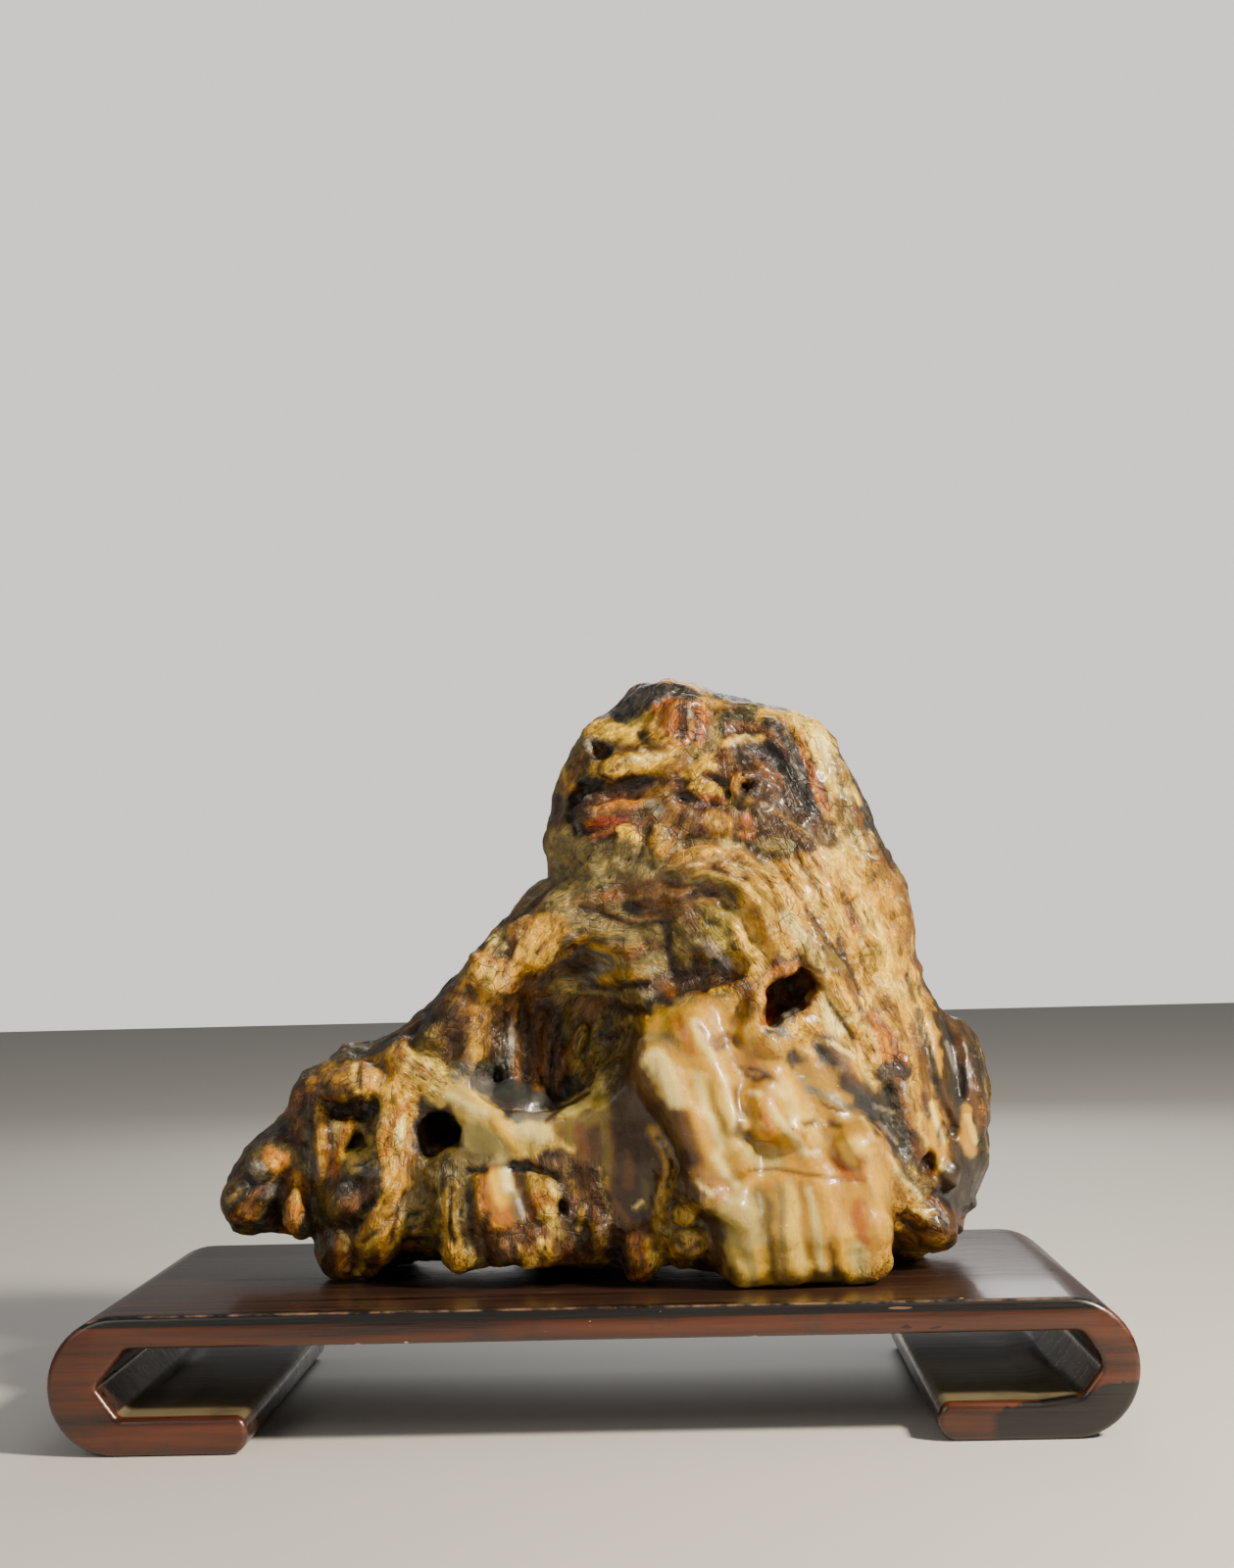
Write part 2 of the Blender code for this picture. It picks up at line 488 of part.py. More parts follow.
def net(field):
    """Corners and quads of the surface where the field is zero."""
    inside = field.distance < 0.0
    count = field.count - 1
    total = np.zeros(count)
    place = np.zeros((3,) + tuple(count))
    corners = [(i, j, k) for i in (0, 1) for j in (0, 1) for k in (0, 1)]

    def shifted(array, corner):
        i, j, k = corner
        return array[i:i + count[0], j:j + count[1], k:k + count[2]]

    for start in corners:
        for axis in range(3):
            if start[axis]:
                continue
            end = list(start)
            end[axis] = 1
            a = shifted(field.distance, start)
            b = shifted(field.distance, end)
            crossing = shifted(inside, start) != shifted(inside, end)
            share = np.where(crossing, a / np.where(crossing, a - b, 1.0), 0.0)
            total += crossing
            for i in range(3):
                place[i] += np.where(crossing, start[i] + (share if i == axis else 0.0), 0.0)
    used = total > 0
    number = np.full(tuple(count), -1)
    number[used] = np.arange(used.sum())
    spots = np.stack([place[i][used] / total[used] for i in range(3)], axis=1)
    points = field.low + field.step * (np.argwhere(used) + spots)

    quads = []
    for axis in range(3):
        one = (axis + 1) % 3
        two = (axis + 2) % 3
        lower = [slice(1, None)] * 3
        upper = [slice(1, None)] * 3
        lower[axis] = slice(0, -1)
        first = inside[tuple(lower)]
        second = inside[tuple(upper)]
        for outward in (True, False):
            hits = np.argwhere((first == outward) & (second != outward))
            base = hits + 1
            base[:, axis] -= 1
            ring = []
            for step_one, step_two in [(1, 1), (0, 1), (0, 0), (1, 0)]:
                spot = base.copy()
                spot[:, one] -= step_one
                spot[:, two] -= step_two
                ring.append(number[spot[:, 0], spot[:, 1], spot[:, 2]])
            ring = np.stack(ring, axis=1)
            quads.append(ring if outward else ring[:, ::-1])
    return points, np.concatenate(quads)


def largest_body(mesh):
    """Keep the body with the most faces."""
    body = bmesh.new()
    body.from_mesh(mesh)
    left = set(body.verts)
    groups = []
    while left:
        seed = left.pop()
        group = [seed]
        waiting = [seed]
        while waiting:
            for edge in waiting.pop().link_edges:
                for vert in edge.verts:
                    if vert in left:
                        left.remove(vert)
                        group.append(vert)
                        waiting.append(vert)
        groups.append(group)
    groups.sort(key=len)
    for group in groups[:-1]:
        bmesh.ops.delete(body, geom=group, context="VERTS")
    body.to_mesh(mesh)
    body.free()


def make_material(name, colour, roughness):
    """A plain Principled material."""
    material = bpy.data.materials.new(name)
    material.use_nodes = True
    shader = material.node_tree.nodes["Principled BSDF"]
    shader.inputs["Base Color"].default_value = (*colour, 1.0)
    shader.inputs["Roughness"].default_value = roughness
    shader.inputs["Metallic"].default_value = 0.0
    return material


def add_object(name, mesh, material):
    """Put a mesh in the scene as a named object."""
    mesh.materials.append(material)
    thing = bpy.data.objects.new(name, mesh)
    bpy.context.scene.collection.objects.link(thing)
    return thing


def arc(centre, radius, start, end, steps):
    """Points along an arc in the X-Z plane, by angles in degrees."""
    angles = [math.radians(start + (end - start) * i / steps) for i in range(steps + 1)]
    return [(centre[0] + radius * math.cos(a), centre[1] + radius * math.sin(a)) for a in angles]


def stand_profile():
    """The stand from the front: a board that curls under into two feet."""
    middle = 0.5 * STAND_LENGTH - ROLL_RADIUS
    under = STAND_HEIGHT - PLANK_THICKNESS
    low_tip = 5.5
    high_tip = 4.0
    tip_low = (FOOT_TIP + low_tip, low_tip)
    tip_high = (FOOT_TIP + high_tip, FOOT_THICKNESS - high_tip)
    left = arc((-middle, ROLL_RADIUS), ROLL_RADIUS, 90, 270, 18)
    left += arc((-tip_low[0], tip_low[1]), low_tip, -90, -15, 4)
    left += arc((-tip_high[0], tip_high[1]), high_tip, 10, 90, 3)
    left += [(-141, FOOT_THICKNESS), (-144, 12.5), (-149, 20), (-149, 22), (-143, 30.5), (-140, under)]
    right = [(146, under), (150, 29.5), (152.5, 24), (152, 18), (148, 14), (141, 12), (134, FOOT_THICKNESS)]
    right += arc((tip_high[0], tip_high[1]), high_tip, 90, 170, 3)
    right += arc((tip_low[0], tip_low[1]), low_tip, 195, 270, 4)
    right += arc((middle, ROLL_RADIUS), ROLL_RADIUS, -90, 90, 18)
    return left + right


def build_stand():
    """The low wooden stand, in one piece with rounded edges."""
    body = bmesh.new()
    front = -0.5 * STAND_DEPTH
    ring = [body.verts.new((x * MM, front * MM, z * MM)) for x, z in stand_profile()]
    face = body.faces.new(ring)
    grown = bmesh.ops.extrude_face_region(body, geom=[face])
    moved = [item for item in grown["geom"] if isinstance(item, bmesh.types.BMVert)]
    bmesh.ops.translate(body, verts=moved, vec=Vector((0.0, STAND_DEPTH * MM, 0.0)))
    rims = [edge for edge in body.edges if abs(edge.verts[0].co.y - edge.verts[1].co.y) < 1e-6]
    bmesh.ops.bevel(body, geom=rims, offset=EDGE_ROUND * MM, segments=3, profile=0.5,
                    affect="EDGES", clamp_overlap=True)
    bmesh.ops.recalc_face_normals(body, faces=body.faces)
    mesh = bpy.data.meshes.new("stand")
    body.to_mesh(mesh)
    body.free()
    add_object("stand", mesh, make_material("dark lacquered wood", (0.07, 0.025, 0.012), 0.35))
    mesh.shade_smooth()
    mesh.set_sharp_from_angle(angle=math.radians(35.0))


def build_rock():
    """The stone, in one piece, cut flat where it touches the stand."""
    field = Field(GRID_STEP)
    shape_back(field)
    shape_right(field)
    shape_hump(field)
    shape_bowl(field)
    shape_head(field)
    shape_left(field)
    shape_lower_middle(field)
    shape_underside(field)
    heights = field.axes[2][None, None, :]
    field.distance = np.maximum(field.distance, ROCK_BOTTOM - heights)
    points, quads = net(field)
    mesh = bpy.data.meshes.new("rock")
    mesh.from_pydata((points * MM).tolist(), [], quads.tolist())
    largest_body(mesh)
    spots = np.zeros(3 * len(mesh.vertices))
    mesh.vertices.foreach_get("co", spots)
    spots = spots.reshape(-1, 3) / MM
    normals = np.zeros(3 * len(mesh.vertices))
    mesh.vertex_normals.foreach_get("vector", normals)
    spots = add_relief(spots, normals.reshape(-1, 3))
    spots[:, 2] = np.maximum(spots[:, 2], ROCK_BOTTOM)
    mesh.vertices.foreach_set("co", (spots * MM).ravel())
    mesh.update()
    rock = add_object("rock", mesh, make_material("wax stone", (0.36, 0.2, 0.07), 0.3))
    mesh.shade_smooth()
    even = rock.modifiers.new("even faces", "REMESH")
    even.mode = "VOXEL"
    even.voxel_size = REMESH_SIZE * MM
    even.use_smooth_shade = True
    seen = rock.evaluated_get(bpy.context.evaluated_depsgraph_get())
    thin = rock.modifiers.new("fewer faces", "DECIMATE")
    thin.ratio = ROCK_TRIANGLES / (2 * len(seen.data.polygons))
    return rock


def main():
    for thing in list(bpy.data.objects):
        bpy.data.objects.remove(thing, do_unlink=True)
    build_stand()
    build_rock()


main()
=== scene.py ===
import itertools
import math

import bpy
import numpy as np
from mathutils import Matrix, Vector


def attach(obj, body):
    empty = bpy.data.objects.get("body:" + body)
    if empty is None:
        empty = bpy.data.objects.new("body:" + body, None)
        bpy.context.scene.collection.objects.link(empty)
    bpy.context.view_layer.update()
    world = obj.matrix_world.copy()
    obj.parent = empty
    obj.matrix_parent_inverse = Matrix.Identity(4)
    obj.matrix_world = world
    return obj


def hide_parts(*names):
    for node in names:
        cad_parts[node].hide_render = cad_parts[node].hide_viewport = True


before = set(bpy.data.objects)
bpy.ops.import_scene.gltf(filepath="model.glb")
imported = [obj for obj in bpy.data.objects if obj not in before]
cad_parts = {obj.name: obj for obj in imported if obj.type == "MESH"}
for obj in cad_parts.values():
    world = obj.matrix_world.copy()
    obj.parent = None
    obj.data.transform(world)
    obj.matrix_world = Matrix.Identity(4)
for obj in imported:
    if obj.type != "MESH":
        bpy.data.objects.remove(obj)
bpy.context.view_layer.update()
MM = 0.001

# %% [markdown]
# The camera stands where the photographer's eye was, a little over 70 cm in
# front of the stand and at the height of the stone's hollow. It is turned by
# small angles, and it has no shift. The place and the angles came from lining
# up the stand's corners with the picture.
# %% Camera
EYE_MM = np.array([29.3, -747.1, 156.8])
YAW, PITCH, ROLL = (math.radians(angle) for angle in (1.431, 3.642, -1.427))
FOCAL_PIXELS = 2250.0
PICTURE_HEIGHT = 1600.0
SENSOR = 36.0


def camera_axes():
    """The camera's right, up and forward directions."""
    level_right = Vector((math.cos(YAW), math.sin(YAW), 0.0))
    level_forward = Vector((-math.sin(YAW), math.cos(YAW), 0.0))
    upright = Vector((0.0, 0.0, 1.0))
    forward = math.cos(PITCH) * level_forward + math.sin(PITCH) * upright
    over = math.cos(PITCH) * upright - math.sin(PITCH) * level_forward
    right = math.cos(ROLL) * level_right + math.sin(ROLL) * over
    up = math.cos(ROLL) * over - math.sin(ROLL) * level_right
    return right, up, forward


right, up, forward = camera_axes()
lens = bpy.data.cameras.new("photo view")
lens.sensor_width = SENSOR
lens.lens = FOCAL_PIXELS * SENSOR / PICTURE_HEIGHT
lens.clip_start = 0.01
camera = bpy.data.objects.new("photo view", lens)
camera.matrix_world = Matrix((right, up, -forward)).transposed().to_4x4()
camera.location = Vector(EYE_MM) * MM
bpy.context.scene.collection.objects.link(camera)
bpy.context.scene.camera = camera
print("focal length:", round(lens.lens, 2), "mm")

# %% [markdown]
# A studio for a small object is a pale floor and a few large soft lamps.
# The picture's light is warm and comes from the upper right, in front. It is
# small enough to leave crisp glints on the wax. A weak lamp on the left keeps
# the shaded side readable, and one behind draws the outline.
# %% Floor and lights
def plain_material(name, colour, roughness):
    """A material of one colour, for the floor."""
    material = bpy.data.materials.new(name)
    material.use_nodes = True
    shader = material.node_tree.nodes["Principled BSDF"]
    shader.inputs["Base Color"].default_value = (*colour, 1.0)
    shader.inputs["Roughness"].default_value = roughness
    return material


FLOOR_SIZE = 6.0
floor_mesh = bpy.data.meshes.new("floor")
half = 0.5 * FLOOR_SIZE
floor_mesh.from_pydata([(-half, -half, 0), (half, -half, 0), (half, half, 0), (-half, half, 0)],
                       [], [(0, 1, 2, 3)])
floor_mesh.materials.append(plain_material("pale floor", (0.62, 0.61, 0.59), 0.6))
floor = bpy.data.objects.new("floor", floor_mesh)
bpy.context.scene.collection.objects.link(floor)

world = bpy.data.worlds.new("soft room")
world.use_nodes = True
sky = world.node_tree.nodes["Background"]
sky.inputs["Color"].default_value = (1.0, 0.97, 0.93, 1.0)
seen_directly = world.node_tree.nodes.new("ShaderNodeLightPath")
brightness = world.node_tree.nodes.new("ShaderNodeMapRange")
brightness.inputs["To Min"].default_value = 0.2
brightness.inputs["To Max"].default_value = 1.1
world.node_tree.links.new(seen_directly.outputs["Is Camera Ray"], brightness.inputs["Value"])
world.node_tree.links.new(brightness.outputs[0], sky.inputs["Strength"])
bpy.context.scene.world = world


def add_lamp(name, place, size, power, colour):
    """A square soft lamp that faces the stone."""
    light = bpy.data.lights.new(name, "AREA")
    light.size = size
    light.energy = power
    light.color = colour
    lamp = bpy.data.objects.new(name, light)
    lamp.location = place
    aim = Vector((0.0, 0.0, 0.12)) - Vector(place)
    lamp.rotation_euler = aim.to_track_quat("-Z", "Y").to_euler()
    bpy.context.scene.collection.objects.link(lamp)


add_lamp("key", (0.85, -0.55, 0.80), 0.16, 36.0, (1.0, 0.88, 0.70))
add_lamp("fill", (-0.60, -0.80, 0.55), 0.50, 2.2, (1.0, 0.94, 0.84))
add_lamp("rim", (0.10, 0.90, 0.55), 0.50, 3.0, (1.0, 0.98, 0.95))
print("lamps:", [item.name for item in bpy.data.lights])

# %% [markdown]
# The stone grew in one piece, so it is one closed skin. A skin with caves,
# overhangs and holes is hard to push out of a ball, so it is made as a field:
# a grid of distances to the surface, negative inside. Lumps are joined to the
# field and hollows are cut out of it, each with a soft fillet, as a carver
# adds wax and takes it away. The first form is the stone's outline, swelled
# into a pillow. The values are millimetres, and repeat the solid's own.
# %% The stone's outline
STAND_HEIGHT = 42.0
REST_GAP = 0.3
ROCK_BOTTOM = STAND_HEIGHT + REST_GAP
GRID_LOW = (-134.0, -70.0, 38.0)
GRID_HIGH = (140.0, 62.0, 246.0)
GRID_STEP = 1.0

OUTLINE = [
    (29, 239), (36, 237), (43, 234), (57, 231), (68, 228), (76, 224), (81, 219), (88, 208),
    (96, 192), (102, 179), (108, 167), (111, 144), (113, 132), (118, 125), (125, 116),
    (129, 106), (132, 97), (132, 84), (131, 71), (128, 60), (123, 51), (114, 46), (96, 45),
    (30, 46), (-40, 47), (-84, 47), (-93, 54), (-110, 56), (-122, 57), (-126, 67),
    (-123, 75), (-118, 84), (-111, 90), (-103, 97), (-102, 102), (-98, 109), (-90, 113),
    (-84, 118), (-74, 118), (-65, 123), (-55, 131), (-44, 141), (-36, 152), (-27, 160),
    (-19, 168), (-13, 173), (-14, 188), (-11, 198), (-8, 208), (-4, 217), (1, 222), (9, 228),
    (17, 234), (22, 237),
]


ROUNDNESS = 0.88


def ramp(value, points):
    """Read a line through (value, result) points."""
    return np.interp(value, [p[0] for p in points], [p[1] for p in points])


def half_depth(x, z):
    """Half of the rock's depth, before its lumps and hollows."""
    along = ramp(x, [(-126, 25), (-70, 31), (-30, 41), (60, 45), (100, 38), (132, 27)])
    up = ramp(z, [(42, 1.0), (120, 1.0), (235, 0.74)])
    return along * up


def middle_depth(x):
    """The y of the rock's middle plane."""
    return ramp(x, [(-126, 6), (-60, 2), (0, -3), (80, -4), (104, 6), (132, 16)])


def outline_distance(x, z):
    """Signed distance to the outline in the X-Z plane, negative inside."""
    nearest = np.full(np.shape(x), 1e9)
    inside = np.zeros(np.shape(x), dtype=bool)
    corners = OUTLINE + OUTLINE[:1]
    for (ax, az), (bx, bz) in zip(corners, corners[1:]):
        run_x = bx - ax
        run_z = bz - az
        along = ((x - ax) * run_x + (z - az) * run_z) / (run_x ** 2 + run_z ** 2)
        along = np.clip(along, 0.0, 1.0)
        nearest = np.minimum(nearest, np.hypot(x - ax - along * run_x, z - az - along * run_z))
        crosses = (az > z) != (bz > z)
        if bz != az:
            inside ^= crosses & (x < ax + (z - az) * run_x / run_z)
    return np.where(inside, -nearest, nearest)


def pillow(x, y, z):
    """Distance to the outline swelled into a rounded body."""
    half = half_depth(x, z)
    radius = ROUNDNESS * half
    side = outline_distance(x, z) + radius
    face = np.abs(y - middle_depth(x)) - half + radius
    outer = np.hypot(np.maximum(side, 0.0), np.maximum(face, 0.0))
    return outer + np.minimum(np.maximum(side, face), 0.0) - radius


def skin(x, z):
    """The y of the swelled body's front at x and z."""
    half = float(half_depth(x, z))
    radius = ROUNDNESS * half
    side = float(np.clip(outline_distance(np.array(x), np.array(z)) + radius, 0.0, radius))
    return float(middle_depth(x)) - half + radius - math.sqrt(radius ** 2 - side ** 2)


print("outline corners:", len(OUTLINE))

# %% [markdown]
# The field keeps one number for each grid point. A ball and a chain of bars
# are the only two shapes that it needs. Each one changes only a small window
# of the grid, so a hundred of them take a few seconds.
# %% The field
def smooth_least(a, b, blend):
    """The smaller of two distances, with a fillet of about the blend's size."""
    mix = np.clip(0.5 + 0.5 * (b - a) / blend, 0.0, 1.0)
    return b + (a - b) * mix - blend * mix * (1.0 - mix)


class Field:
    """Distances to the rock's surface on a regular grid, negative inside."""

    def __init__(self, step):
        self.low = np.array(GRID_LOW)
        self.step = step
        self.count = np.ceil((np.array(GRID_HIGH) - self.low) / step).astype(int)
        axes = [self.low[i] + step * np.arange(self.count[i]) for i in range(3)]
        self.axes = axes
        x, z = np.meshgrid(axes[0], axes[2], indexing="ij")
        self.distance = pillow(x[:, None, :], axes[1][None, :, None], z[:, None, :])

    def window(self, low, high):
        """The part of the grid between two corners, with its coordinates."""
        first = np.clip(((low - self.low) / self.step).astype(int), 0, self.count)
        last = np.clip(((high - self.low) / self.step).astype(int) + 2, 0, self.count)
        part = tuple(slice(first[i], last[i]) for i in range(3))
        x = self.axes[0][part[0]][:, None, None]
        y = self.axes[1][part[1]][None, :, None]
        z = self.axes[2][part[2]][None, None, :]
        return part, x, y, z

    def apply(self, part, shape, blend, cut):
        """Join the shape to the rock, or cut it out."""
        old = self.distance[part]
        if cut:
            self.distance[part] = -smooth_least(-old, shape, blend)
        else:
            self.distance[part] = smooth_least(old, shape, blend)

    def ball(self, centre, radii, lean=0.0, blend=4.0, cut=False):
        """An ellipsoid, leaned in the X-Z plane by an angle in degrees."""
        centre = np.array(centre, dtype=float)
        reach = max(radii) + 2.0 * blend
        part, x, y, z = self.window(centre - reach, centre + reach)
        turn = math.radians(lean)
        across = (x - centre[0]) * math.cos(turn) + (z - centre[2]) * math.sin(turn)
        up = (z - centre[2]) * math.cos(turn) - (x - centre[0]) * math.sin(turn)
        back = y - centre[1]
        scaled = np.sqrt((across / radii[0]) ** 2 + (back / radii[1]) ** 2 + (up / radii[2]) ** 2)
        slope = np.sqrt((across / radii[0] ** 2) ** 2 + (back / radii[1] ** 2) ** 2
                        + (up / radii[2] ** 2) ** 2)
        shape = scaled * (scaled - 1.0) / np.maximum(slope, 1e-6)
        self.apply(part, shape, blend, cut)

    def rod(self, points, blend=3.0, cut=False):
        """Round bars from point to point; each point is x, y, z and radius."""
        points = np.array(points, dtype=float)
        reach = points[:, 3].max() + 2.0 * blend
        low = points[:, :3].min(axis=0) - reach
        high = points[:, :3].max(axis=0) + reach
        part, x, y, z = self.window(low, high)
        shape = None
        for start, end in zip(points, points[1:]):
            run = end[:3] - start[:3]
            along = (x - start[0]) * run[0] + (y - start[1]) * run[1] + (z - start[2]) * run[2]
            along = np.clip(along / run.dot(run), 0.0, 1.0)
            away = np.sqrt((x - start[0] - along * run[0]) ** 2
                           + (y - start[1] - along * run[1]) ** 2
                           + (z - start[2] - along * run[2]) ** 2)
            bar = away - start[3] - along * (end[3] - start[3])
            shape = bar if shape is None else smooth_least(shape, bar, 2.0)
        self.apply(part, shape, blend, cut)

    def lump(self, x, z, radii, out=0.0, lean=0.0, blend=4.0):
        """A lump on the front, its centre in front of the skin by out."""
        self.ball((x, skin(x, z) - out, z), radii, lean, blend)

    def pit(self, x, z, radii, out=0.0, lean=0.0, blend=2.0):
        """A hollow in the front, its centre in front of the skin by out."""
        self.ball((x, skin(x, z) - out, z), radii, lean, blend, cut=True)

    def ridge(self, points, radius, out=0.0, blend=3.0):
        """A raised bar along the front through x, z points."""
        self.rod([(x, skin(x, z) - out, z, radius) for x, z in points], blend)

    def groove(self, points, radius, out=0.0, blend=2.0):
        """A channel along the front through x, z points."""
        self.rod([(x, skin(x, z) - out, z, radius) for x, z in points], blend, cut=True)


rock_field = Field(GRID_STEP)
print("grid points:", rock_field.distance.size)

# %% [markdown]
# The forms follow the stone from its back to its front, with a function for
# each region. The back is not in the picture: it gets broad swells and
# hollows, and the pads that the stone rests on.
# %% Back
def stone_share(rock):
    """How much of the grid's box the stone fills."""
    return round(float((rock.distance < 0.0).mean()), 3)


def shape_back(rock):
    """The back: broad lumps, furrows, and the pads that it rests on."""
    swells = [((40, 30, 190), (30, 14, 30)), ((70, 32, 130), (32, 16, 42)),
              ((-20, 30, 110), (38, 13, 26)), ((10, 36, 72), (44, 14, 26)),
              ((-86, 24, 82), (26, 12, 20))]
    for centre, radii in swells:
        rock.ball(centre, radii, 20, 9.0)
    hollows = [((8, 46, 142), (13, 12, 22)), ((98, 44, 84), (10, 12, 20)),
               ((-54, 40, 72), (10, 14, 16)), ((56, 50, 98), (16, 10, 9)),
               ((60, 40, 214), (9, 9, 15))]
    for centre, radii in hollows:
        rock.ball(centre, radii, -15, 5.0, cut=True)
    pads = [(-72, 18, 11), (-10, 30, 14), (58, 28, 15), (100, 12, 11)]
    for x, y, radius in pads:
        rock.ball((x, y, 50), (radius, radius, 11), 0, 6.0)


shape_back(rock_field)
print("deepest point inside:", round(float(rock_field.distance.min()), 1), "mm")
print("with its back, the stone fills", stone_share(rock_field), "of the box")

# %% [markdown]
# The right side leans back in long furrows. It has a bean-shaped hole high up,
# and ends in a broad dark flank with a groove along its front.
# %% Right side
def shape_right(rock):
    """The right body: a deep bean-shaped hole, long furrows and the flank."""
    for y, size in [(-50, 1.0), (-43, 0.95), (-36, 0.75)]:
        bean = [(71, y, 138, 6.0 * size), (64, y, 133, 7.5 * size), (58, y, 126, 5.5 * size)]
        rock.rod(bean, 1.0, cut=True)
    rock.ridge([(54, 131), (52, 122), (59, 117)], 3.0, 1.0)
    rock.groove([(83, 170), (90, 150), (94, 128), (99, 112)], 3.0, 1.2, 4.0)
    rock.groove([(77, 138), (85, 118), (94, 100), (100, 84)], 3.0, 1.2, 4.0)
    rock.groove([(72, 118), (80, 104), (90, 94)], 2.6, 1.0, 3.0)
    rock.pit(99, 96, (5, 3, 11), 1.0, -12)
    rock.pit(94, 87, (4, 3, 7), 1.0, 20)
    rock.pit(109, 77, (3.5, 6, 4.5), 0.0)
    rock.lump(115, 73, (5, 5, 6), -1.0, 10, 2.0)
    rock.lump(108, 57, (10, 8, 9), -2.0)
    rock.ball((120, 10, 92), (13, 24, 30), -6, 6.0)
    rock.groove([(112, 134), (110, 122), (111, 110), (114, 98), (119, 86)], 2.2, 0.3, 1.5)
    rock.groove([(117, 126), (121, 112), (122, 98)], 1.6, 0.6, 2.5)


shape_right(rock_field)
print("with the right side, the stone fills", stone_share(rock_field), "of the box")

# %% [markdown]
# The hump looks like poured wax: long folds run down from its crest and fuse
# into four lobes at the bottom.
# %% Hump
def shape_hump(rock):
    """The large wax-like hump at the lower right, and its fused lobes."""
    rock.ball((36, -28, 106), (22, 24, 25), 15, 6.0)
    rock.ball((68, -30, 68), (25, 24, 27), 0, 8.0)
    folds = [[(19, -43, 117, 8), (26, -48, 108, 8.5), (33, -52, 94, 7.5), (37, -52, 80, 7),
              (38, -50, 72, 6)],
             [(33, -46, 123, 8), (40, -50, 107, 7), (45, -53, 94, 6), (47, -53, 82, 5.5)],
             [(48, -41, 120, 7), (57, -47, 106, 7), (64, -50, 92, 6)]]
    for fold in folds:
        rock.rod(fold, 5.0)
    rock.rod([(31, -50, 73, 5), (38, -54, 70, 5.5), (46, -54, 67, 5), (49, -51, 75, 4)], 3.0)
    rock.ball((55, -53, 97), (7, 7, 9), 15, 3.0)
    rock.ball((84, -42, 85), (9, 13, 9), 0, 4.0)
    for x, y, radius in [(49, -46, 9.5), (61, -48, 8.5), (73, -48, 8.0), (84, -45, 9.5)]:
        rock.rod([(x, y + 2, 72, radius), (x, y, 60, radius), (x, y + 2, 51.5, radius)], 5.0)
    rock.ball((54, -62, 74), (4, 7, 4.5), -20, 3.0, cut=True)
    rock.ball((49, -64, 90), (4, 6, 3.0), 30, 2.0, cut=True)
    rock.rod([(36, -62, 108, 2.5), (39, -63, 96, 2.5), (42, -63, 84, 2)], 4.0, cut=True)
    rock.rod([(48, -59, 106, 2), (50, -60, 98, 2.5)], 3.0, cut=True)


shape_hump(rock_field)
print("with the hump, the stone fills", stone_share(rock_field), "of the box")

# %% [markdown]
# The cave is cut from several balls, because its roof, wall and floor curve
# differently. Strands stand against its back, a rim closes it on the left and
# a bridge closes it in front.
# %% Cave
def shape_bowl(rock):
    """The cave-like hollow, its rim and the bridge in front of it."""
    rock.ball((12, -60, 150), (31, 26, 28), 20, 8.0, cut=True)
    rock.ball((38, -60, 148), (13, 16, 14), 0, 6.0, cut=True)
    above_hump = [(6, -42, 131, 5), (18, -43, 138, 7), (32, -44, 141, 7), (46, -44, 142, 5.5)]
    rock.rod(above_hump, 3.0, cut=True)
    rock.ball((-5, -40, 135), (20, 24, 18), 35, 6.0, cut=True)
    rock.ball((-8, -36, 122), (25, 25, 25), 35, 6.0, cut=True)
    rock.ball((-20, -22, 120), (13, 15, 18), 25, 3.0, cut=True)
    rock.ball((-21, -28, 106), (18, 22, 11), -12, 4.0, cut=True)
    strands = [[(-26, -12, 132, 2), (-29, -10, 118, 3.4), (-26, -11, 104, 2.6)],
               [(-16, -10, 139, 2), (-21, -6, 120, 3.6), (-20, -9, 104, 2.6)],
               [(-6, -14, 136, 2), (-13, -7, 118, 3.2), (-13, -10, 103, 2.5)],
               [(-2, -15, 124, 2), (-6, -13, 111, 2.6)]]
    for strand in strands:
        rock.rod(strand, 3.0)
    rock.ball((-27, -15, 96), (15, 13, 9), 8, 4.0)
    rim = [(-8, -27, 160, 7), (-18, -28, 152, 8), (-30, -28, 142, 9), (-39, -27, 131, 8),
           (-48, -27, 122, 8)]
    rock.rod(rim, 4.0)
    rock.ball((-31, -34, 141), (6, 6, 9), 40, 3.0)
    rock.ball((-41, -31, 128), (6, 6, 9), 30, 3.0)
    rock.ball((-19, -32, 150), (7, 5, 8), 40, 3.0)
    rock.rod([(-6, -24, 149, 4), (-17, -23, 140, 6), (-25, -22, 128, 6)], 1.5, cut=True)
    rock.rod([(4, -42, 131, 2), (16, -44, 130, 2.6), (27, -46, 132, 2.6)], 1.5, cut=True)
    bridge = [(-58, -24, 112, 9), (-46, -30, 104, 6), (-37, -34, 97, 5), (-27, -37, 91, 6),
              (-12, -36, 89, 7), (2, -35, 93, 8), (12, -34, 106, 8)]
    rock.rod(bridge, 3.0)


shape_bowl(rock_field)
print("with the cave, the stone fills", stone_share(rock_field), "of the box")

